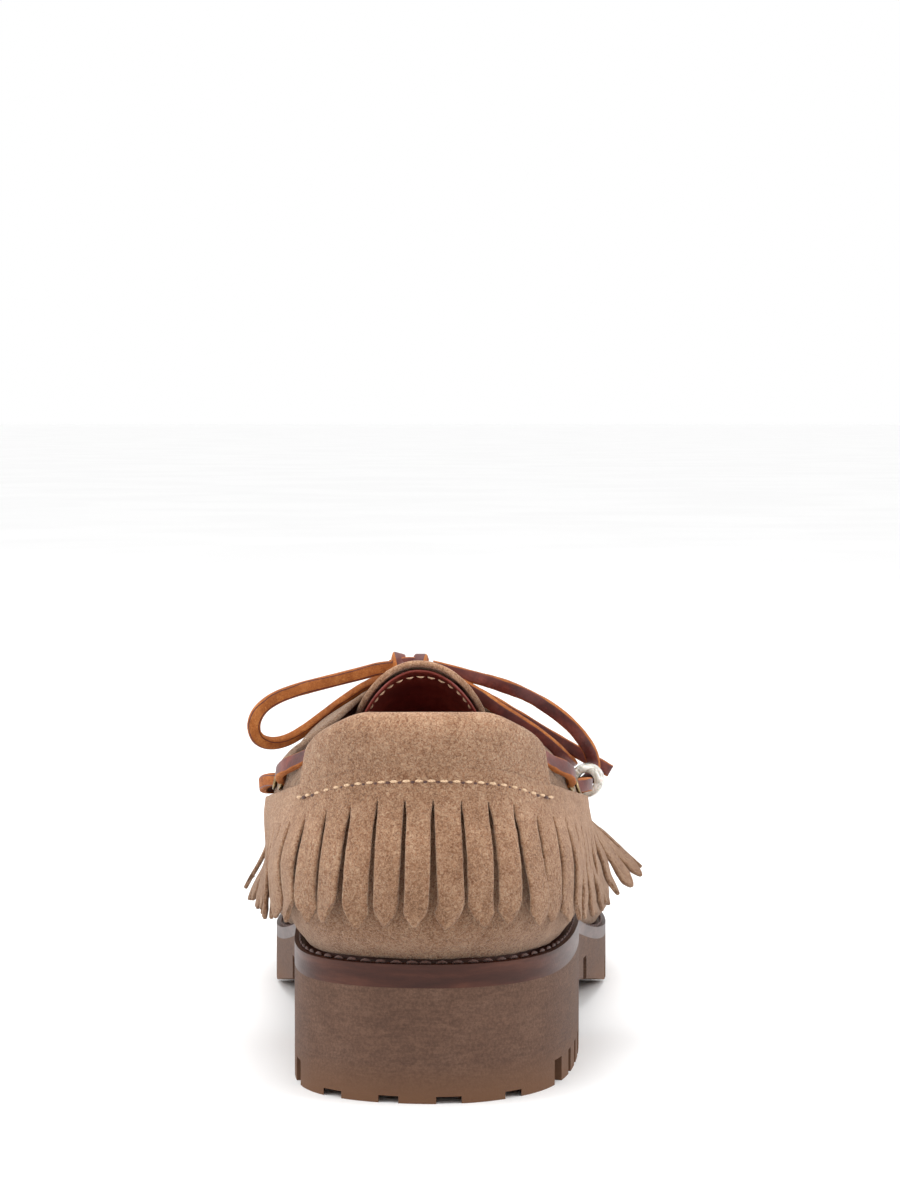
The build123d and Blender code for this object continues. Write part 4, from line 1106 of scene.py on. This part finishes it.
for name, node, route, far_end in (
        ("left_loop_strap", "left_loop", LEFT_LOOP, "knot"),
        ("right_loop_strap", "right_loop", RIGHT_LOOP, "knot"),
        ("plain_end_strap", "plain_lace_end", PLAIN_END, "bare"),
        ("beaded_end_strap", "beaded_lace_end", BEADED_END, "bare")):
    piece, line, length = ribbon(name, route, nodes=(node,), seed=len(name))

# Knot: two turns over the bundle and one strand across
KNOT = np.array((-3.9, 84.0, 109.1))
SLOPE = np.array((0, 1, -0.42)) / np.hypot(1, 0.42)
RISE = np.array((0, 0.42, 1)) / np.hypot(1, 0.42)


def knot_turn(x, lean, radius_along, radius_up, start=-120, sweep=330):
    """Route of one turn of lace round the bundle at a distance across."""
    route = []
    for i in range(10):
        a = radians(start + sweep * i / 9)
        shift = x + lean * (i / 9 - 0.5)
        route.append(tuple(KNOT + np.array((shift, 0, 0)) + SLOPE * radius_along * cos(a)
                           + RISE * radius_up * sin(a)))
    return route


knot_pieces = [
    ribbon("knot_turn_left", knot_turn(-5.8, 2.2, 4.2, 4.2), up=(1, 0, 0), seed=61)[0],
    ribbon("knot_turn_right", knot_turn(0.6, -3.0, 4.4, 3.9, 60, 320), up=(1, 0, 0), seed=62)[0],
    ribbon("knot_crossing", [tuple(KNOT + np.array(p)) for p in
                             ((-7.4, -1.5, 1.2), (-4.6, -2.6, 2.0), (-1.2, -2.8, 2.3),
                              (2.0, -1.6, 1.4), (4.6, -0.6, -0.4))], seed=63)[0],
]
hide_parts("bow_knot")

# CAD pieces that stay ---------------------------------------------------------------------
for node, material in (("outsole", RUBBER), ("midsole_band", BAND), ("insole_board", BOARD),
                       ("sock_liner", LINING_LOOK), ("heel_counter", BOARD)):
    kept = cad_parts[node]
    for held in kept.material_slots:
        held.material = material

# Floor, light and camera ------------------------------------------------------------------


def floor():
    """Pale studio floor, far wider than the view."""
    look = Look("pale_floor", 0.75)
    look.colour(look.ramp(look.noise(400, 2), (0.4, srgb(250, 250, 250)),
                          (0.6, srgb(253, 253, 253))))
    mesh = bpy.data.meshes.new("floor")
    reach = 40.0
    corners = [(x * reach, y * reach, 0) for x, y in ((-1, -1), (1, -1), (1, 1), (-1, 1))]
    mesh.from_pydata(corners, [], [(0, 1, 2, 3)])
    mesh.materials.append(look.material)
    obj = bpy.data.objects.new("floor", mesh)
    bpy.context.scene.collection.objects.link(obj)


def area_light(name, place, target, size, power):
    """Round soft light aimed at a point."""
    light = bpy.data.lights.new(name, "AREA")
    light.shape = "DISK"
    light.size = size
    light.energy = power
    obj = bpy.data.objects.new(name, light)
    obj.location = place
    obj.rotation_euler = (Vector(target) - Vector(place)).to_track_quat("-Z", "Y").to_euler()
    bpy.context.scene.collection.objects.link(obj)


floor()
world = bpy.data.worlds.new("studio")
world.use_nodes = True
world.node_tree.nodes["Background"].inputs["Color"].default_value = (1, 1, 1, 1)
world.node_tree.nodes["Background"].inputs["Strength"].default_value = 1.0
bpy.context.scene.world = world
area_light("key", (-0.5, -0.9, 1.5), (0, 0.05, 0.05), 0.9, 4)
area_light("side_left", (-1.3, -0.2, 0.7), (0, 0.05, 0.06), 0.8, 8)
area_light("side_right", (1.3, -0.2, 0.7), (0, 0.05, 0.06), 0.8, 8)
area_light("top", (0, 0.3, 1.8), (0, 0.1, 0), 1.2, 12)
bpy.context.scene.view_settings.view_transform = "Standard"

camera = bpy.data.cameras.new("camera")
camera.sensor_fit = "HORIZONTAL"
camera.sensor_width = 36
camera.lens = 126.5
camera.clip_start = 0.01
camera.clip_end = 200
camera_object = bpy.data.objects.new("camera", camera)
camera_object.location = (0.0067, -0.8925, 0.1894)
camera_object.rotation_euler = (radians(90 - 3.44), 0, 0)
bpy.context.scene.collection.objects.link(camera_object)
bpy.context.scene.camera = camera_object
